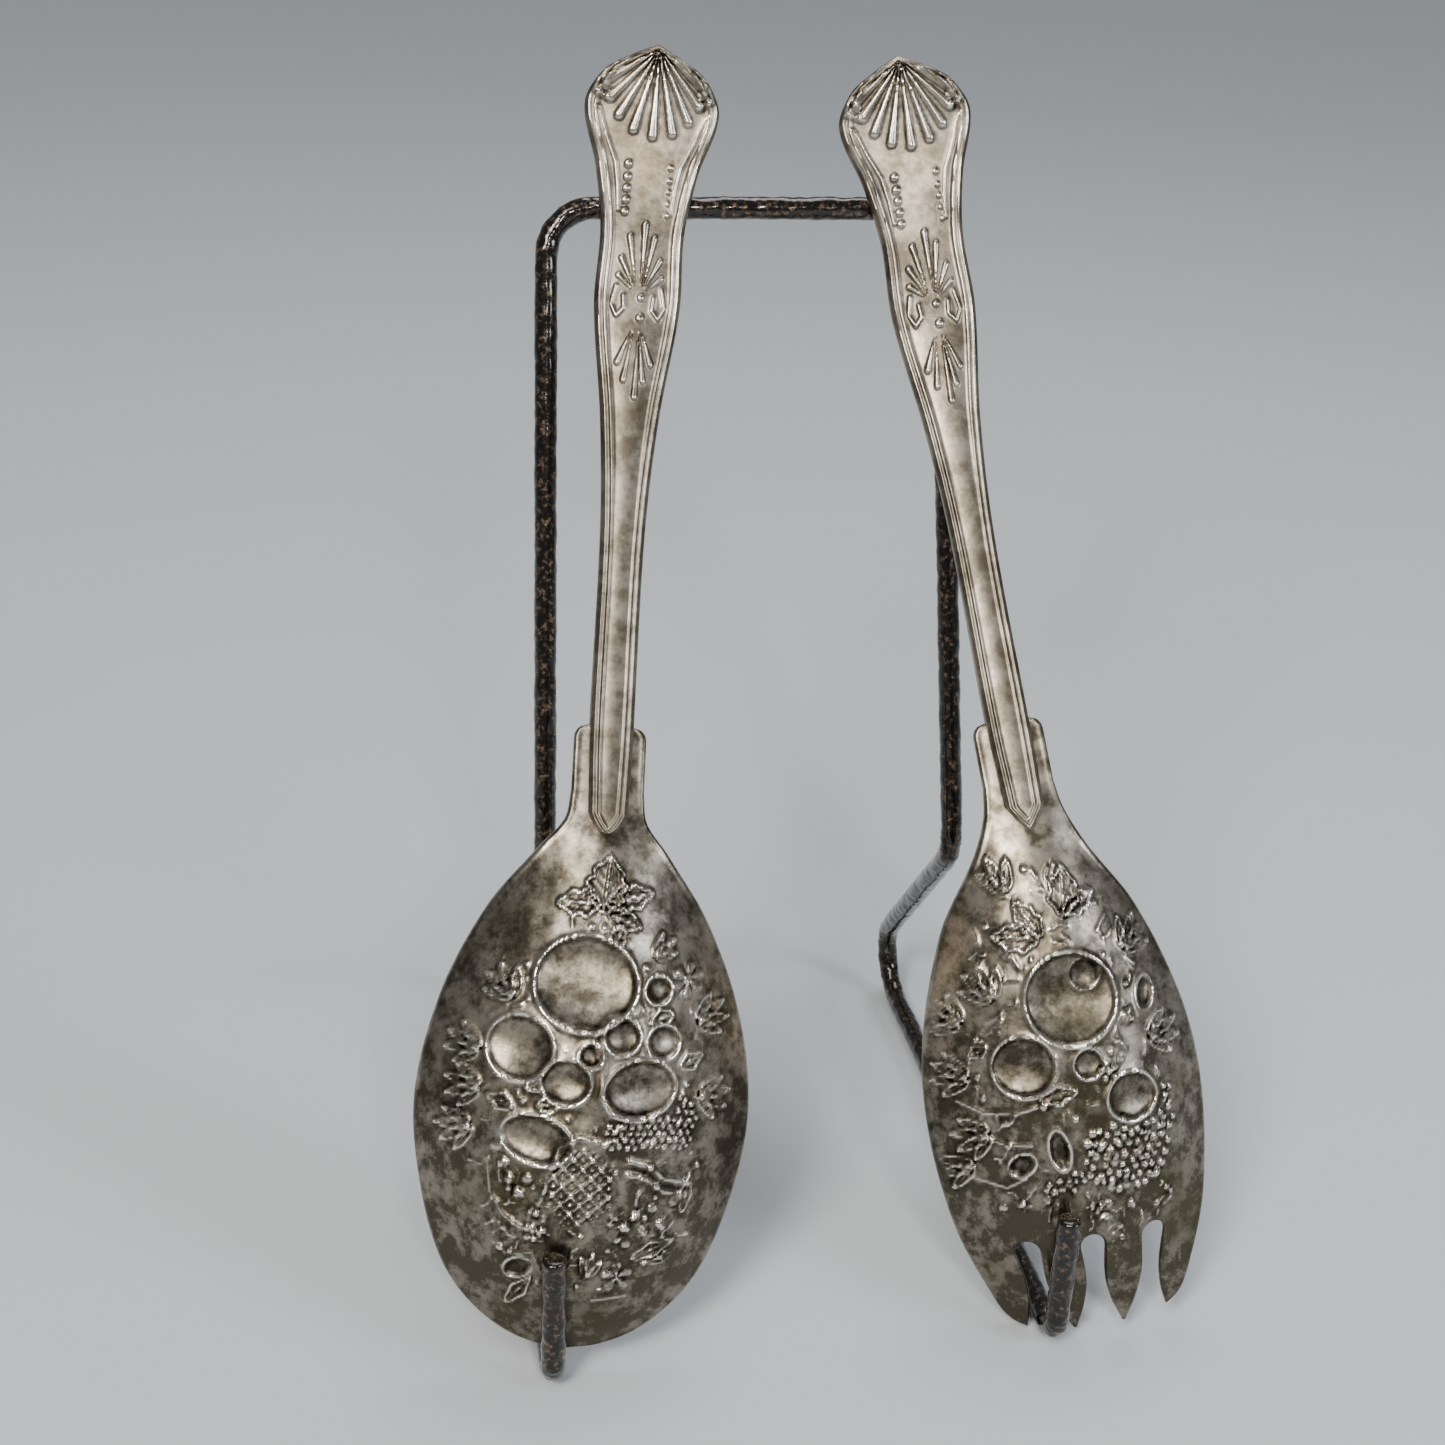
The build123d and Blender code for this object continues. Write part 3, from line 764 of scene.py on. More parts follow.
@dataclass
class Bowl:
    """A pressed bowl seen from its back: a keel line with a curl to each side, and a neck tongue."""

    length: float
    width: float
    depth: float
    keel_shares: list[Pair]        # share of the length, share of the depth
    curl_shares: list[Pair]        # share of the length, fall of the sides against the depth
    outline: list[Pair]            # share of the half width, share of the length
    sheet: float = 1.1
    neck_width: float = 12.6
    neck_length: float = 13.5
    neck_flare: float = 2.0        # part of the neck that still narrows
    neck_corner: float = 2.4
    seat: float = 0.3              # how deep the handle is let into the neck
    foot_overlap: float = 1.5      # how far the handle's stem reaches past the neck's root
    rim_plain: float = 0.4         # how near the edge the ornament comes
    rim_fade: float = 1.6          # and over how far it reaches its full height
    rolled: float = 0.12           # height of the line rolled along the edge
    edge_round: float = 0.5
    wobble: float = 0.05           # how far the worn sheet strays from its true curve
    pressed_through: float = 0.85  # how much of the relief shows in the hollow
    tip_ease: float = 0.05         # how much closer the rows are at the tip

    def keel(self, y: np.ndarray) -> np.ndarray:
        """Height of the back along the middle."""
        return self.depth * SmoothLine(self.keel_shares)(y / self.length)

    def back(self, x: np.ndarray, y: np.ndarray) -> np.ndarray:
        """Height of the plain back."""
        curl = self.depth / (self.width / 2) ** 2 * SmoothLine(self.curl_shares)(y / self.length)
        return self.keel(y) - curl * x**2

    def front(self, x: np.ndarray, y: np.ndarray) -> np.ndarray:
        """Sets out the plain hollow side, a sheet's thickness in from the back.

        Args:
            x, y: places in plan.

        Returns:
            Its height at each.
        """
        step = 0.5
        slope_x = (self.back(x + step, y) - self.back(x - step, y)) / (2 * step)
        slope_y = (self.back(x, y + step) - self.back(x, y - step)) / (2 * step)
        return self.back(x, y) - self.sheet * np.sqrt(1 + slope_x**2 + slope_y**2)

    def half_width(self, y: np.ndarray) -> np.ndarray:
        """Sets out the bowl's outline, from the round tip to the tongue's corners.

        Args:
            y: places along the bowl.

        Returns:
            Half the width at each.
        """
        neck, top = self.neck_width / 2, self.length + self.neck_length
        points = [(0.0, 0.0)] + [(sqrt(v), u * self.width / 2) for u, v in self.outline]
        points += [(sqrt(0.968), 1.14 * neck), (sqrt(1 + self.neck_flare / self.length), neck)]
        side = SmoothLine(points)(np.sqrt(np.clip(y, 0, None) / self.length))
        side = np.where(y > self.length + self.neck_flare, neck, side)
        over = np.clip(y - (top - self.neck_corner), 0, self.neck_corner)
        return np.maximum(side - self.neck_corner + np.sqrt(self.neck_corner**2 - over**2), 0)

    def stations(self, count: int) -> np.ndarray:
        """Spaces the grid's rows, closer together at the round tip.

        Args:
            count: how many rows.

        Returns:
            Their places, from the tip to the tongue's end.
        """
        t, ease = np.linspace(0, 1, count), self.tip_ease
        share = (np.sqrt(t**2 + ease**2) - ease) / (sqrt(1 + ease**2) - ease)
        return share * (self.length + self.neck_length)

    def pressed(self, x: np.ndarray, y: np.ndarray, inset: np.ndarray, relief: Relief,
                cut: np.ndarray) -> Plate:
        """Puts the ornament on the sheet.

        Args:
            x, y: the grid in plan.
            inset: distance in from the edge.
            relief: the struck heights.
            cut: which of the grid's cells are open.

        Returns:
            The bowl as a grid with both its sides.
        """
        height = relief.height * np.clip((inset - self.rim_plain) / self.rim_fade, 0, 1)
        height += self.wobble * np.sin(0.9 * x + 0.5 * y) * np.sin(0.7 * y - 0.4 * x)
        recess = blurred(height, 5) - height + 0.035 * np.clip(-blurred(height, 3), 0, 1.5)
        rolled = self.rolled * np.exp(-((inset - 0.6) / 0.5) ** 2)
        back = self.back(x, y) + height + rolled - edge_fall(inset, self.edge_round)
        under = self.front(x, y) + self.pressed_through * blurred(height, 8)
        return Plate(x, y, back, under, recess, -0.8 * recess, cut)


@dataclass
class Server:
    """What the spoon and the fork share: a bowl and a handle that lean in the stand."""

    body: str
    tip: Triple                # where the tip stands, in the frame's millimetres
    lean: float                # degrees back from upright
    tilt: float                # degrees to the side
    turn: float                # degrees about its own length
    drawn_length: float        # the bowl's length that its pattern is drawn for
    bowl: Bowl = field(init=False)
    handle: Handle = field(init=False)

    def fit_handle(self, drop: float, foot: FootDrop) -> None:
        """Seats the handle in the bowl's neck.

        Args:
            drop: length of its foot's drop.
            foot: that drop's shape.
        """
        foot_y = self.bowl.length - self.bowl.foot_overlap
        neck_z = float(self.bowl.keel(self.bowl.length)) - self.bowl.seat
        self.handle = Handle(foot_y, neck_z, drop, foot)

    def place(self) -> Matrix:
        """Stands the server up.

        Returns:
            From its own millimetres to the frame's metres.
        """
        lean, tilt, turn = radians(self.lean), radians(self.tilt), radians(self.turn)
        along = Vector((sin(tilt), sin(lean) * cos(tilt), cos(lean) * cos(tilt)))
        out = Vector((0, -cos(lean), sin(lean)))
        across = along.cross(out) * cos(turn) - out * sin(turn)
        axes = Matrix((across, along, across.cross(along))).transposed().to_4x4()
        return Matrix.Translation(Vector(self.tip) * MM) @ axes @ Matrix.Scale(MM, 4)

    def dress(self, bowl_plate: Plate,
              finishes: list[bpy.types.Material]) -> list[bpy.types.Object]:
        """Strikes the two pieces, gives them their finish and puts them on their body.

        Args:
            bowl_plate: the bowl as a grid.
            finishes: the bowl's and the handle's.

        Returns:
            The bowl and the handle.
        """
        pieces = []
        plates = (("bowl", bowl_plate), ("handle", self.handle.plate()))
        for (part, plate), finish in zip(plates, finishes):
            piece = plate.strike(f"{self.body}_{part}_struck", self.place())
            piece.data.materials.append(finish)
            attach(piece, self.body)
            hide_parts(f"{self.body}_{part}")
            pieces.append(piece)
        return pieces


@dataclass
class Spoon(Server):
    """The serving spoon, fruit on its bowl, standing in the left hook."""

    body: str = "spoon"
    tip: Triple = (-42.2, 5.1932, 4.7)
    lean: float = 24.866
    tilt: float = 6.4
    turn: float = -1.6
    drawn_length: float = 89.73
    guard_x: float = -3.6      # where the hook's prong passes the bowl's back
    guard_y: float = 21.0
    guard_half: float = 1.8
    guard_room: float = 0.02   # how high the ornament may stand there
    columns: int = 184
    rows: int = 252

    def __post_init__(self) -> None:
        """Sets out the bowl and the handle."""
        self.bowl = Bowl(
            length=94.0, width=58.0, depth=15.0,
            keel_shares=[(-0.05, -0.29), (0.0, 0.03), (0.064, 0.35), (0.16, 0.69), (0.32, 0.95),
                         (0.468, 1.0), (0.617, 0.93), (0.766, 0.73), (0.894, 0.467),
                         (1.0, 0.227), (1.15, -0.053)],
            curl_shares=[(0.0, 1.25), (0.32, 1.02), *UPPER_CURL],
            outline=[(0.43, 0.038), (0.75, 0.138), (0.945, 0.309), (1.0, 0.46), (0.89, 0.638),
                     (0.66, 0.798), (0.385, 0.915)])
        self.fit_handle(3.42, FootDrop.ROUND)

    def fruit(self, relief: Relief) -> None:
        """Draws the bowl's fruit, leaves and beads.

        Args:
            relief: where to draw, with y from the tip.
        """
        relief.leaf((0.0, 72.4), (1.0, 81.5), 3.0, 0.55, 4)
        relief.leaf((0.4, 74.0), (8.4, 76.0), 1.9, 0.5, 3)
        relief.leaf((-0.4, 74.0), (-7.4, 73.6), 1.9, 0.5, 3)
        relief.leaf((0.8, 72.6), (6.4, 70.4), 1.5, 0.45, 3)
        relief.spray(8.6, 65.6, 40, 3, 5.0)
        relief.flower(15.0, 62.3, 3.1, 6)
        relief.hollow(-2.0, 61.2, 8.3, 7.6, 2.5, 0.62)
        for x, y, r in ((9.9, 60.7, 2.3), (4.3, 53.2, 3.0), (11.2, 52.5, 2.8), (-0.6, 50.0, 2.0)):
            relief.hollow(x, y, r, r, 0.32 * r, 0.5)
        relief.thread([(6.5, 63), (6.6, 57), (2.0, 56), (-0.4, 53), (1.5, 48), (1.2, 44), (3.2, 40.6),
                       (8, 39.8)], 0.5, 0.42)
        relief.hollow(7.8, 45.0, 6.0, 4.7, 1.7, 0.6, 12)
        relief.hollow(-11.8, 50.4, 5.3, 5.3, 1.6, 0.55)
        relief.hollow(-4.2, 45.6, 4.0, 3.7, 1.2, 0.5)
        relief.hollow(-8.2, 36.2, 5.9, 3.9, 1.4, 0.55, -14)
        for x, y, turn in ((-17.6, 49.4, 170), (-17.2, 43.6, 185), (-18.2, 37.4, 200),
                           (-13.0, 58.0, 130), (16.6, 55.6, 20), (17.6, 44.0, -10)):
            relief.spray(x, y, turn, 4, 6.4)
        for x, y, turn in ((-10.4, 44.2, 30), (-8.6, 41.6, 10), (-12.4, 41.0, 160), (14.4, 48.4, 30),
                           (-14.6, 45.6, 100), (1.6, 67.0, 60), (12.6, 57.0, 200)):
            tip = (x + 4.2 * cos(radians(turn)), y + 4.2 * sin(radians(turn)))
            relief.leaf((x, y), tip, 1.2, 0.45, 2)
        relief.bead_field([(2.0, 35.0), (16.7, 34.6), (18.4, 40.0), (15.6, 46.4), (13.6, 40.6),
                           (2.4, 39.6)], 1.26, 0.56, 0.46, 0.2)
        for rise in (0.0, 2.1):
            relief.thread([(6.9, 33.4 - rise), (10, 32.6 - rise), (13, 30.4 - rise),
                           (17.0, 29.6 - rise)], 0.62, 0.5)
        relief.diamonds(-0.6, 29.0, 5.6, 6.9, 3.0)
        relief.thread([(-5.6, 31.5), (-4.6, 35.0), (-1.6, 37.0), (1.6, 36.4)], 0.4, 0.34)
        relief.thread([(-15.6, 32.3), (-14.8, 27), (-12.4, 23.4), (-9.7, 21.7), (-6.5, 21.2)], 0.5, 0.45)
        for x, y in ((-14.4, 34.5), (-13.1, 32.0), (-9.2, 29.8), (-10.3, 27.2), (8.7, 24.5),
                     (7.0, 22.6), (10.2, 22.0), (13.1, 22.8), (15.0, 26.6), (7.5, 19.8),
                     (-6.1, 21.2), (-12.0, 29.4), (11.4, 25.6), (-7.6, 24.6)):
            relief.bead(x, y, 0.95, 0.5)
        relief.hollow(-9.4, 14.8, 2.3, 1.7, 0.5, 0.42, 20)
        relief.thread([(-13.4, 18.6), (-11.6, 17.0), (-7.4, 17.6), (-6.0, 15.0)], 0.4, 0.35)
        relief.spray(1.6, 13.6, 80, 3, 4.4)
        relief.flower(6.6, 14.0, 2.9, 5)
        relief.thread([(3.2, 9.6), (8.4, 10.4)], 0.5, 0.35)
        relief.leaf((-10.6, 8.2), (-7.2, 13.4), 1.1, 0.4, 2)
        relief.leaf((8.8, 17.2), (15.6, 20.0), 1.1, 0.42, 2)
        relief.leaf((16.6, 24.6), (17.4, 31.0), 0.9, 0.4, 2)
        relief.filler(0.0, 44.0, 19.5, 29.0, 150, 3)
        relief.filler(1.0, 20.0, 15.0, 10.0, 50, 5)

    def make(self, finishes: list[bpy.types.Material]) -> list[bpy.types.Object]:
        """Makes the bowl and the handle.

        Args:
            finishes: the bowl's and the handle's.

        Returns:
            The two objects.
        """
        y = self.bowl.stations(self.rows)[:, None] + np.zeros((1, self.columns))
        half = self.bowl.half_width(y)
        x = np.linspace(-1, 1, self.columns)[None, :] * half
        scale = self.drawn_length / self.bowl.length
        relief = Relief(x * scale, y * scale)
        self.fruit(relief)
        room = self.guard_room + 0.3 * np.clip(np.abs(x - self.guard_x) - self.guard_half, 0, None)
        room += 0.3 * np.clip(y - self.guard_y, 0, None)
        relief.height = np.minimum(relief.height, room)
        plate = self.bowl.pressed(x, y, half - np.abs(x), relief, np.zeros(x.shape, bool))
        return self.dress(plate, finishes)


@dataclass
class Fork(Server):
    """The four-tine serving fork, fruit on its bowl, its first slot over the right foot."""

    SLOTS = (-1, 0, 1)         # the left slot, the middle one and the right one

    body: str = "fork"
    tip: Triple = (53.9, 3.0, 1.9087)
    lean: float = 24.922
    tilt: float = -7.0
    turn: float = -8.0
    drawn_length: float = 91.64
    pattern_shift: Pair = (-1.5, 2.0)    # how far the pattern is moved on the bowl
    slot_top_y: float = 18.0
    slot_top_width: float = 4.3
    slot_waist_width: float = 3.4
    slot_top_x: float = 11.6   # the outer slots' tops, from the middle
    tip_spacing: float = 8.8
    tip_half: float = 0.25     # half a tine's width at its tip
    tine_columns: int = 44
    rows: int = 250

    def __post_init__(self) -> None:
        """Sets out the bowl and the handle."""
        self.bowl = Bowl(
            length=96.0, width=50.0, depth=13.0,
            keel_shares=[(-0.05, 0.0), (0.0, 0.12), (0.055, 0.28), (0.11, 0.43), (0.22, 0.69),
                         (0.38, 0.93), (0.52, 1.0), (0.67, 0.93), (0.80, 0.74), (0.91, 0.48),
                         (1.0, 0.262), (1.15, -0.061)],
            curl_shares=[(0.0, 0.7), (0.25, 0.95), *UPPER_CURL],
            outline=[(0.50, 0.012), (0.78, 0.115), (0.93, 0.24), (1.0, 0.43), (0.93, 0.59),
                     (0.70, 0.77), (0.40, 0.90)])
        self.fit_handle(4.56, FootDrop.POINTED)

    def slot_middle(self, slot: int, y: np.ndarray) -> np.ndarray:
        """x of a slot's middle: the outer slots spread towards their tops."""
        spread = slot * (self.slot_top_x - self.tip_spacing) / self.slot_top_y
        return slot * self.tip_spacing + spread * y

    def slot_half(self, y: np.ndarray) -> np.ndarray:
        """Sets out a slot: a mouth that opens out, a waist and a round top.

        Args:
            y: places along the bowl.

        Returns:
            Half the slot's width at each.
        """
        top, waist = self.slot_top_width / 2, self.slot_waist_width / 2
        mouth, high = self.tip_spacing / 2 - self.tip_half, self.slot_top_y
        side = SmoothLine([(0, mouth), (0.24 * high, 0.62 * mouth), (0.52 * high, waist),
                           (high - top, top)])(y)
        cap = np.sqrt(np.clip(top**2 - np.clip(y - high + top, 0, top) ** 2, 0, None))
        return np.where(y > high - top, cap, side)

    def fruit(self, relief: Relief) -> None:
        """Draws the bowl's fruit, leaves and grapes.

        Args:
            relief: where to draw, with y from the tip.
        """
        relief.leaf((4.4, 69.4), (5.8, 77.4), 2.4, 0.5, 3)
        relief.leaf((4.4, 69.8), (10.4, 72.6), 1.5, 0.45, 3)
        relief.leaf((-0.4, 66.4), (-7.8, 67.6), 2.1, 0.5, 3)
        relief.leaf((0.2, 66.8), (-3.4, 72.8), 1.7, 0.45, 3)
        relief.hollow(3.3, 55.8, 7.8, 7.8, 2.2, 0.6)
        relief.hollow(6.3, 59.4, 2.7, 2.7, 0.7, 0.25)
        relief.hollow(-6.1, 45.7, 5.2, 5.2, 1.6, 0.6)
        relief.hollow(11.2, 37.9, 4.5, 4.2, 1.4, 0.52)
        relief.hollow(16.4, 54.2, 1.7, 2.9, 0.8, 0.45, -12)
        relief.hollow(4.4, 44.8, 2.6, 2.6, 0.8, 0.42)
        relief.flower(7.6, 43.0, 2.0, 5)
        relief.bead(12.4, 51.4, 1.35, 0.5)
        for x, y, turn, count in ((-9.0, 57.0, 120, 4), (-14.4, 53.4, 150, 4), (-14.6, 44.4, 170, 4),
                                  (-12.6, 35.0, 195, 4), (13.6, 61.8, 45, 4), (15.4, 46.8, 5, 4),
                                  (-4.0, 74.0, 110, 3), (-15.6, 29.6, 200, 3)):
            relief.spray(x, y, turn, count, 7.0)
        relief.thread([(-17.4, 40.6), (-13.4, 38.4), (-8.4, 38.0), (-3.0, 39.4)], 0.46, 0.42)
        relief.thread([(-14.4, 34.4), (-10.4, 32.6), (-6.8, 32.4)], 0.46, 0.4)
        relief.thread([(-16.2, 27.0), (-11.4, 25.2), (-8.4, 26.6)], 0.46, 0.36)
        relief.hollow(-2.3, 31.0, 1.7, 3.6, 1.0, 0.5, 6)
        relief.hollow(-8.6, 29.0, 2.4, 1.8, 0.8, 0.42, 30)
        relief.leaf((-4.4, 40.0), (1.8, 40.6), 1.4, 0.45, 2)
        relief.leaf((-11.6, 49.6), (-14.6, 48.0), 1.0, 0.4, 2)
        relief.bead_field([(2.4, 24.6), (7.0, 21.4), (13.4, 22.0), (17.2, 27.4), (15.8, 33.0),
                           (7.0, 34.4), (2.6, 33.4), (1.4, 29.6)], 1.62, 0.74, 0.52, 0.3)
        relief.bead_field([(-6.0, 22.6), (0.0, 23.6), (2.6, 26.0), (-0.4, 27.0), (-5.6, 25.0)],
                          1.5, 0.6, 0.5, 0.3)
        relief.bead_field([(15.4, 30.0), (18.4, 30.6), (18.8, 38.4), (16.6, 38.0)],
                          1.5, 0.62, 0.5, 0.3)
        relief.filler(1.5, 46.0, 17.5, 31.0, 170, 11)
        relief.filler(4.0, 21.0, 13.0, 7.0, 36, 12)
        for x, y, r in ((8.7, 19.4, 0.9), (4.8, 20.4, 0.8), (-5.2, 22.6, 0.9), (-12.4, 21.6, 0.8),
                        (15.6, 20.6, 0.7), (-9.8, 22.0, 0.7), (17.8, 36.6, 0.8), (-1.6, 24.8, 0.8)):
            relief.bead(x, y, r, 0.42)

    def columns_at(self, y: np.ndarray, half: np.ndarray) -> np.ndarray:
        """Where each column of the grid crosses each row.

        Args:
            y: the rows.
            half: half the bowl's width at each row.

        Returns:
            x for every row and column; a slot has one cell between its two sides.
        """
        above = y >= self.slot_top_y
        top_half = float(self.bowl.half_width(np.array(self.slot_top_y)))
        bounds = [-half]
        for slot in self.SLOTS:
            middle = np.where(above, slot * self.slot_top_x / top_half * half,
                              self.slot_middle(slot, y))
            open_half = np.where(above, 0.0, self.slot_half(y))
            bounds += [middle - open_half, middle + open_half]
        bounds.append(half)
        bounds[0] = np.minimum(bounds[0], bounds[1])
        bounds[7] = np.maximum(bounds[7], bounds[6])
        share = np.linspace(0, 1, self.tine_columns + 1)[None, :]
        tines = [bounds[2 * i] + (bounds[2 * i + 1] - bounds[2 * i]) * share for i in range(4)]
        return np.concatenate(tines, axis=1)

    def make(self, finishes: list[bpy.types.Material]) -> list[bpy.types.Object]:
        """Makes the bowl with its tines, and the handle.

        Args:
            finishes: the bowl's and the handle's.

        Returns:
            The two objects.
        """
        top = self.slot_top_width / 2
        arch = self.slot_top_y - top * np.array([0, 0.01, 0.04, 0.1, 0.19, 0.3, 0.5, 0.72])
        rows = np.sort(np.concatenate([self.bowl.stations(self.rows), arch]))[:, None]
        half = self.bowl.half_width(rows)
        x = self.columns_at(rows, half)
        y = rows + np.zeros_like(x)
        edge_gap = half - np.abs(x)
        for slot in self.SLOTS:
            off_middle = x - self.slot_middle(slot, y)
            side = np.abs(off_middle) - self.slot_half(y)
            over = np.hypot(off_middle, np.maximum(y - self.slot_top_y + top, 0)) - top
            edge_gap = np.minimum(edge_gap, np.where(y > self.slot_top_y - top, over, side))
        inset = np.clip(edge_gap, 0, None)
        cut = np.zeros(x.shape, bool)
        for i in (1, 2, 3):
            cut[:, i * (self.tine_columns + 1) - 1] = y[:, 0] < self.slot_top_y - 1e-9
        scale = self.drawn_length / self.bowl.length
        shift_x, shift_y = self.pattern_shift
        relief = Relief(x * scale - shift_x, y * scale - shift_y)
        self.fruit(relief)
        return self.dress(self.bowl.pressed(x, y, inset, relief, cut), finishes)


# ---- the stand -------------------------------------------------------------------------------
@dataclass
class Stand:
    """One painted steel rod: hook, foot, rear bend, kinked leg, top bar, and the same mirrored."""

    rod: float = 4.4
    height: float = 181.3      # table to the top of the bar
    bar_half: float = 36.7     # how far from the middle each corner is
    knee_half: float = 39.6
    rear_half: float = 43.0
    hook_half: float = 44.7
    bar_y: float = 105.0       # how far behind the hooks
    knee_y: float = 70.5
    rear_y: float = 134.2
    knee_height: float = 62.3
    hook_height: float = 28.0
    bends: tuple[float, ...] = (4.4, 9.0, 9.0, 9.0)    # radii: hook, rear, knee, bar
    end_round: float = 0.6
    prong_reach: float = 4.0   # at the prongs' height, only they come this near to y = 0
    lump: float = 0.26         # depth of the dimples in the hammer-effect paint
    lump_mm: float = 2.2       # across a dimple
    steps: int = 116           # along each straight and each bend

    def corners(self) -> list[Vector]:
        """Sets out the rod's centre line with its corners still sharp.

        Returns:
            The corners, from one prong's end to the other's, in metres.
        """
        low = self.rod / 2
        half = [(self.hook_half, 0, self.hook_height), (self.hook_half, 0, low),
                (self.rear_half, self.rear_y, low), (self.knee_half, self.knee_y, self.knee_height),
                (self.bar_half, self.bar_y, self.height - low)]
        other = [(-x, y, z) for x, y, z in reversed(half)]
        return [Vector(p) * MM for p in half + other]

    def knots(self) -> list[list[Vector]]:
        """Bezier knots of the bent rod.

        Returns:
            For each knot its point and its two handles.
        """
        corners = self.corners()
        radii = [r * MM for r in self.bends + self.bends[::-1]]
        knots = [[corners[0].copy() for _ in range(3)]]
        for i, radius in enumerate(radii, start=1):
            into = (corners[i] - corners[i - 1]).normalized()
            away = (corners[i + 1] - corners[i]).normalized()
            turn = into.angle(away)
            reach, pull = radius * tan(turn / 2), 4 / 3 * radius * tan(turn / 4)
            start, end = corners[i] - into * reach, corners[i] + away * reach
            knots.append([start, start.copy(), start + into * pull])
            knots.append([end, end - away * pull, end.copy()])
        knots.append([corners[-1].copy() for _ in range(3)])
        for i in range(0, len(knots), 2):
            knots[i][2] = knots[i][0].lerp(knots[i + 1][0], 1 / 3)
            knots[i + 1][1] = knots[i][0].lerp(knots[i + 1][0], 2 / 3)
        return knots

    def bent_rod(self) -> bmesh.types.BMesh:
        """Bends the rod.

        Returns:
            The plain round rod, closed at both ends.
        """
        curve = bpy.data.curves.new("rod_line", "CURVE")
        curve.dimensions = "3D"
        curve.resolution_u = self.steps
        curve.bevel_depth = self.rod / 2 * MM
        curve.bevel_resolution = 10
        curve.use_fill_caps = True
        line = curve.splines.new("BEZIER")
        knots = self.knots()
        line.bezier_points.add(len(knots) - 1)
        for point, (co, left, right) in zip(line.bezier_points, knots):
            point.handle_left_type = point.handle_right_type = "FREE"
            point.co, point.handle_left, point.handle_right = co, left, right
        guide = bpy.data.objects.new("rod_line", curve)
        bpy.context.scene.collection.objects.link(guide)
        graph = bpy.context.evaluated_depsgraph_get()
        mesh = bpy.data.meshes.new_from_object(guide.evaluated_get(graph))
        bpy.data.objects.remove(guide)
        bm = bmesh.new()
        bm.from_mesh(mesh)
        bpy.data.meshes.remove(mesh)
        bmesh.ops.remove_doubles(bm, verts=bm.verts, dist=WELD_MM * MM)
        bmesh.ops.recalc_face_normals(bm, faces=bm.faces)
        bm.normal_update()
        return bm

    def dimple(self, bm: bmesh.types.BMesh) -> None:
        """Sinks the paint's dimples into the rod, except in its two flat ends.

        Args:
            bm: the rod.
        """
        shifts = []
        for vert in bm.verts:
            large = noise.noise(vert.co * per_size(self.lump_mm))
            small = noise.noise(vert.co * per_size(0.45 * self.lump_mm) + Vector((5, 3, 1)))
            share = min(max(0.5 + 0.75 * large + 0.35 * small, 0), 1)
            shifts.append(vert.normal * (-self.lump * MM * share))
        for vert, shift in zip(bm.verts, shifts):
            below_end = vert.co.z < (self.hook_height - 0.05) * MM
            if below_end or abs(vert.co.y) > self.prong_reach * MM:
                vert.co += shift

    def round_ends(self, bm: bmesh.types.BMesh) -> None:
        """Rounds the edge of the rod's two ends.

        Args:
            bm: the rod.
        """
        for vert in bm.verts:
            near = (vert.co.z - (self.hook_height - self.end_round) * MM) / (self.end_round * MM)
            if near > 0 and abs(vert.co.y) < self.prong_reach * MM:
                side = self.hook_half * MM * (1 if vert.co.x > 0 else -1)
                pull = self.end_round / (self.rod / 2) * (1 - sqrt(max(1 - min(near, 1) ** 2, 0)))
                vert.co.x += (side - vert.co.x) * pull
                vert.co.y -= vert.co.y * pull

    def make(self, finishes: list[bpy.types.Material]) -> list[bpy.types.Object]:
        """Makes the rod with its dimpled paint.

        Args:
            finishes: its one finish.

        Returns:
            The one object.
        """
        bm = self.bent_rod()
        self.dimple(bm)
        self.round_ends(bm)
        piece = finished(bm, "stand_rod_painted")
        piece.data.materials.append(finishes[0])
        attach(piece, "stand")
        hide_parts("stand_wire")
        return [piece]


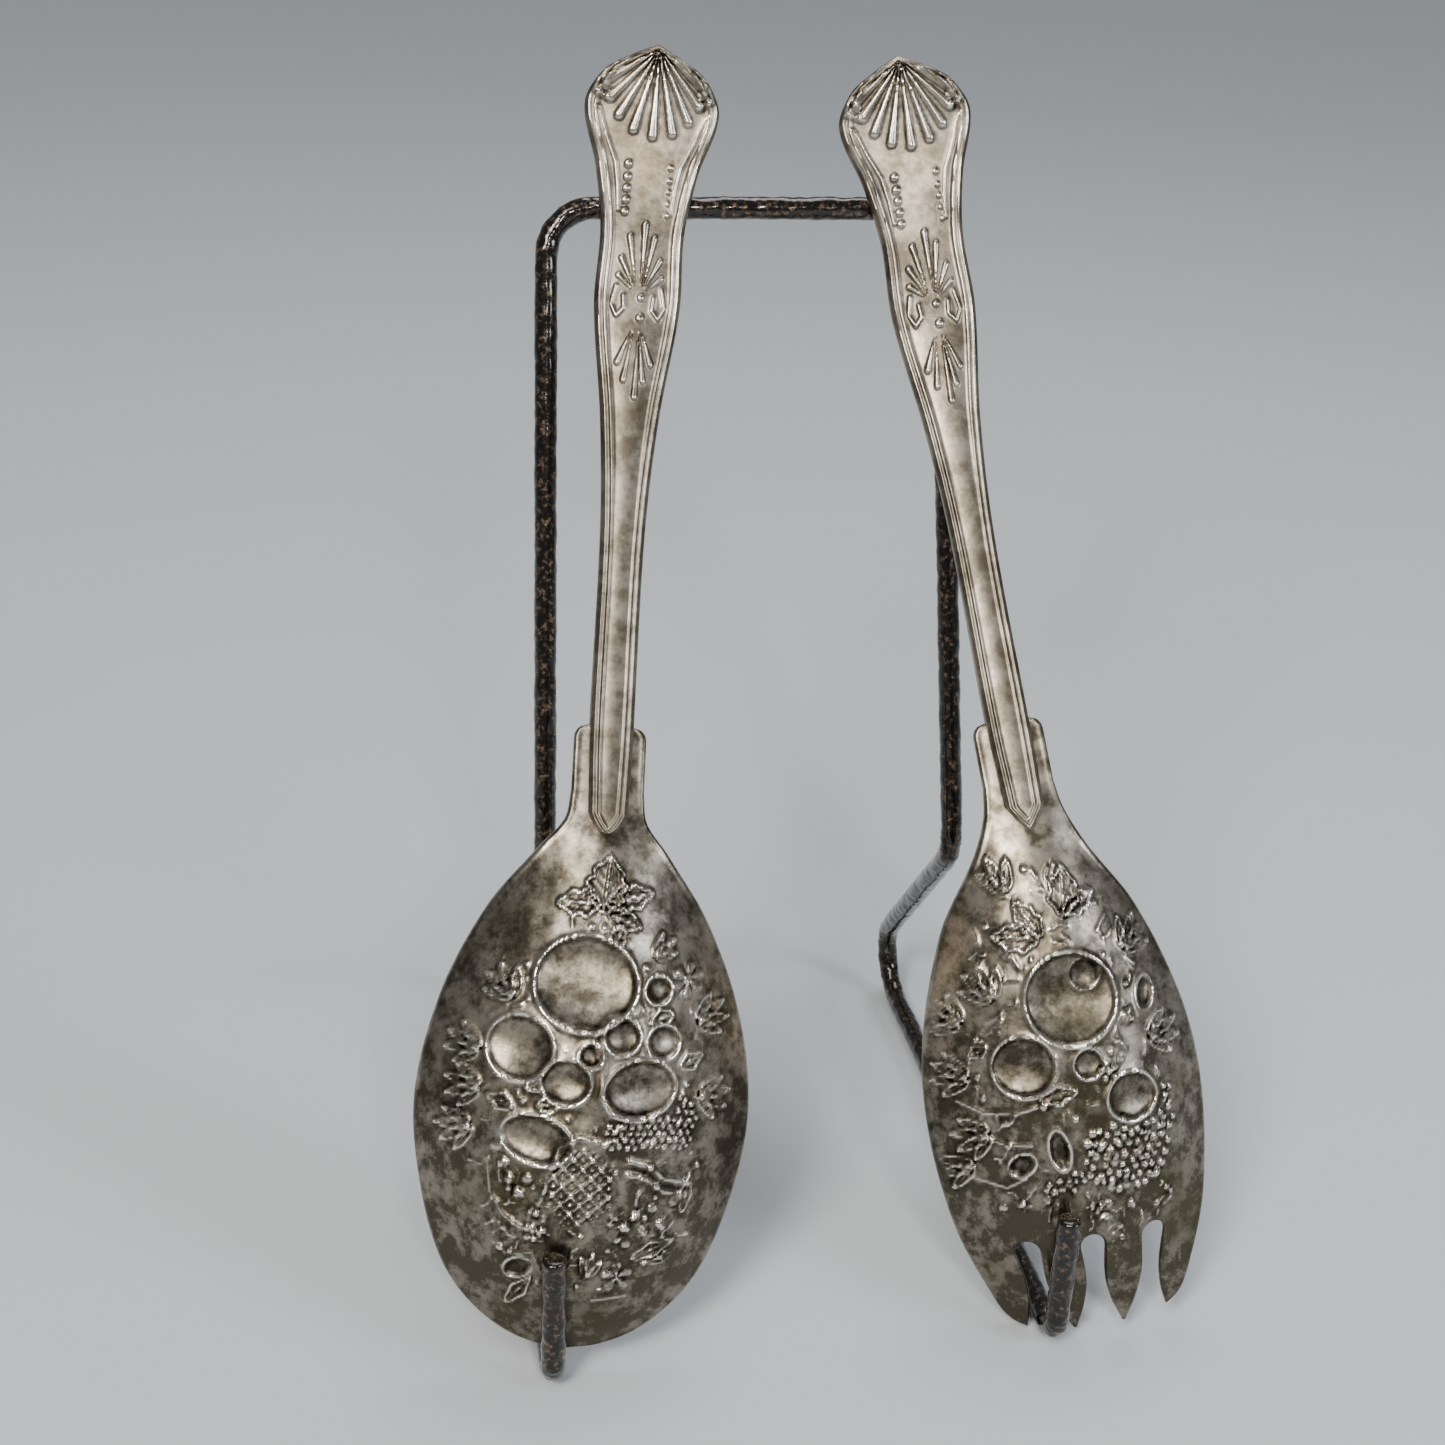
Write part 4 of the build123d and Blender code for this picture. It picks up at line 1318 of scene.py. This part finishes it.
# ---- the room --------------------------------------------------------------------------------
@dataclass
class Studio:
    """A plain pale floor, soft boxes and the camera."""

    eye: Triple = (-76.12, -292.83, 265.50)    # the camera's place, in millimetres
    lens: float = 55.02        # focal length on a film 36 mm wide
    pitch: float = 25.162      # degrees down
    yaw: float = 10.792        # degrees to the right
    roll: float = -2.526
    aim: Triple = (0.0, 0.05, 0.09)    # what the soft boxes face, in metres
    glow: str = "#b4b8bb"      # colour and strength of the light from all round
    glow_power: float = 0.50
    floor_size: float = 12.0   # metres

    def floor(self) -> None:
        """Lays the floor."""
        bm = bmesh.new()
        bmesh.ops.create_grid(bm, x_segments=1, y_segments=1, size=self.floor_size / 2)
        mesh = bpy.data.meshes.new("floor")
        bm.to_mesh(mesh)
        bm.free()
        mesh.materials.append(MattPaper().build())
        floor = bpy.data.objects.new("floor", mesh)
        bpy.context.scene.collection.objects.link(floor)

    def soft_box(self, name: str, place: Triple, size: float, power: float, colour: str) -> None:
        """Hangs one soft box that faces the object.

        Args:
            name: its name.
            place: where it hangs, in metres.
            size: of its square face.
            power: in watts.
            colour: of its light.
        """
        data = bpy.data.lights.new(name, "AREA")
        data.shape, data.size, data.energy = "SQUARE", size, power
        data.color = linear(colour)[:3]
        light = bpy.data.objects.new(name, data)
        light.location = place
        towards = Vector(self.aim) - Vector(place)
        light.rotation_euler = towards.to_track_quat("-Z", "Y").to_euler()
        bpy.context.scene.collection.objects.link(light)

    def lights(self) -> None:
        """Hangs the lights and sets the room's even glow."""
        self.soft_box("key_box", (-0.55, -0.75, 0.85), 0.30, 12.0, "#fff6ea")
        self.soft_box("front_box", (0.02, -1.0, 0.72), 0.11, 4.5, "#fffaf2")
        self.soft_box("fill_box", (0.75, -0.55, 0.55), 0.30, 5.0, "#eef4ff")
        self.soft_box("top_box", (0.15, 0.45, 0.95), 0.45, 3.5, "#ffffff")
        data = bpy.data.lights.new("even_light", "SUN")
        data.energy, data.angle = 1.0, radians(24)
        light = bpy.data.objects.new("even_light", data)
        light.rotation_euler = (radians(26), radians(-18), 0)
        bpy.context.scene.collection.objects.link(light)
        world = bpy.data.worlds.new("room")
        world.use_nodes = True
        background = world.node_tree.nodes["Background"]
        background.inputs["Color"].default_value = linear(self.glow)
        background.inputs["Strength"].default_value = self.glow_power
        bpy.context.scene.world = world

    def camera(self) -> None:
        """Stands the camera in front of the object, a little to the left and above."""
        phi, psi, rho = radians(self.pitch), radians(self.yaw), radians(self.roll)
        ahead = Vector((sin(psi) * cos(phi), cos(psi) * cos(phi), -sin(phi)))
        level = Vector((cos(psi), -sin(psi), 0))
        down = ahead.cross(level)
        right = level * cos(rho) + down * sin(rho)
        below = down * cos(rho) - level * sin(rho)
        data = bpy.data.cameras.new("camera")
        data.lens, data.sensor_width = self.lens, 36.0
        data.clip_start, data.clip_end = 0.01, 50.0
        camera = bpy.data.objects.new("camera", data)
        turned = Matrix((right, -below, -ahead)).transposed().to_4x4()
        camera.matrix_world = Matrix.Translation(Vector(self.eye) * MM) @ turned
        bpy.context.scene.collection.objects.link(camera)
        bpy.context.scene.camera = camera

    def set_up(self) -> None:
        """Builds the whole room."""
        self.floor()
        self.lights()
        self.camera()


def main() -> None:
    """Builds the room, the stand and the two servers in order."""
    logging.basicConfig(level=logging.INFO, format="%(message)s")
    Studio().set_up()
    rubbed = TarnishedSilver().build()
    # The bowls' finish has painted shade towards the bottom, on top of its heavier tarnish.
    heavy = TarnishedSilver(name="tarnished_silver_bowls", polished="#a59c8e", rubbed="#e6dfd2",
                            dull="#504a3f", warm="#514c35", patina="#100d09", blotch_mm=4.5,
                            recess_mm=0.22, painted_low_shade=0.45).build()
    paint = HammeredBronzePaint().build()
    for maker, finishes in ((Stand(), [paint]), (Spoon(), [heavy, rubbed]), (Fork(), [heavy, rubbed])):
        for piece in maker.make(finishes):
            LOG.info("%s: %d faces", piece.name, len(piece.data.polygons))


if __name__ == "__main__":
    main()
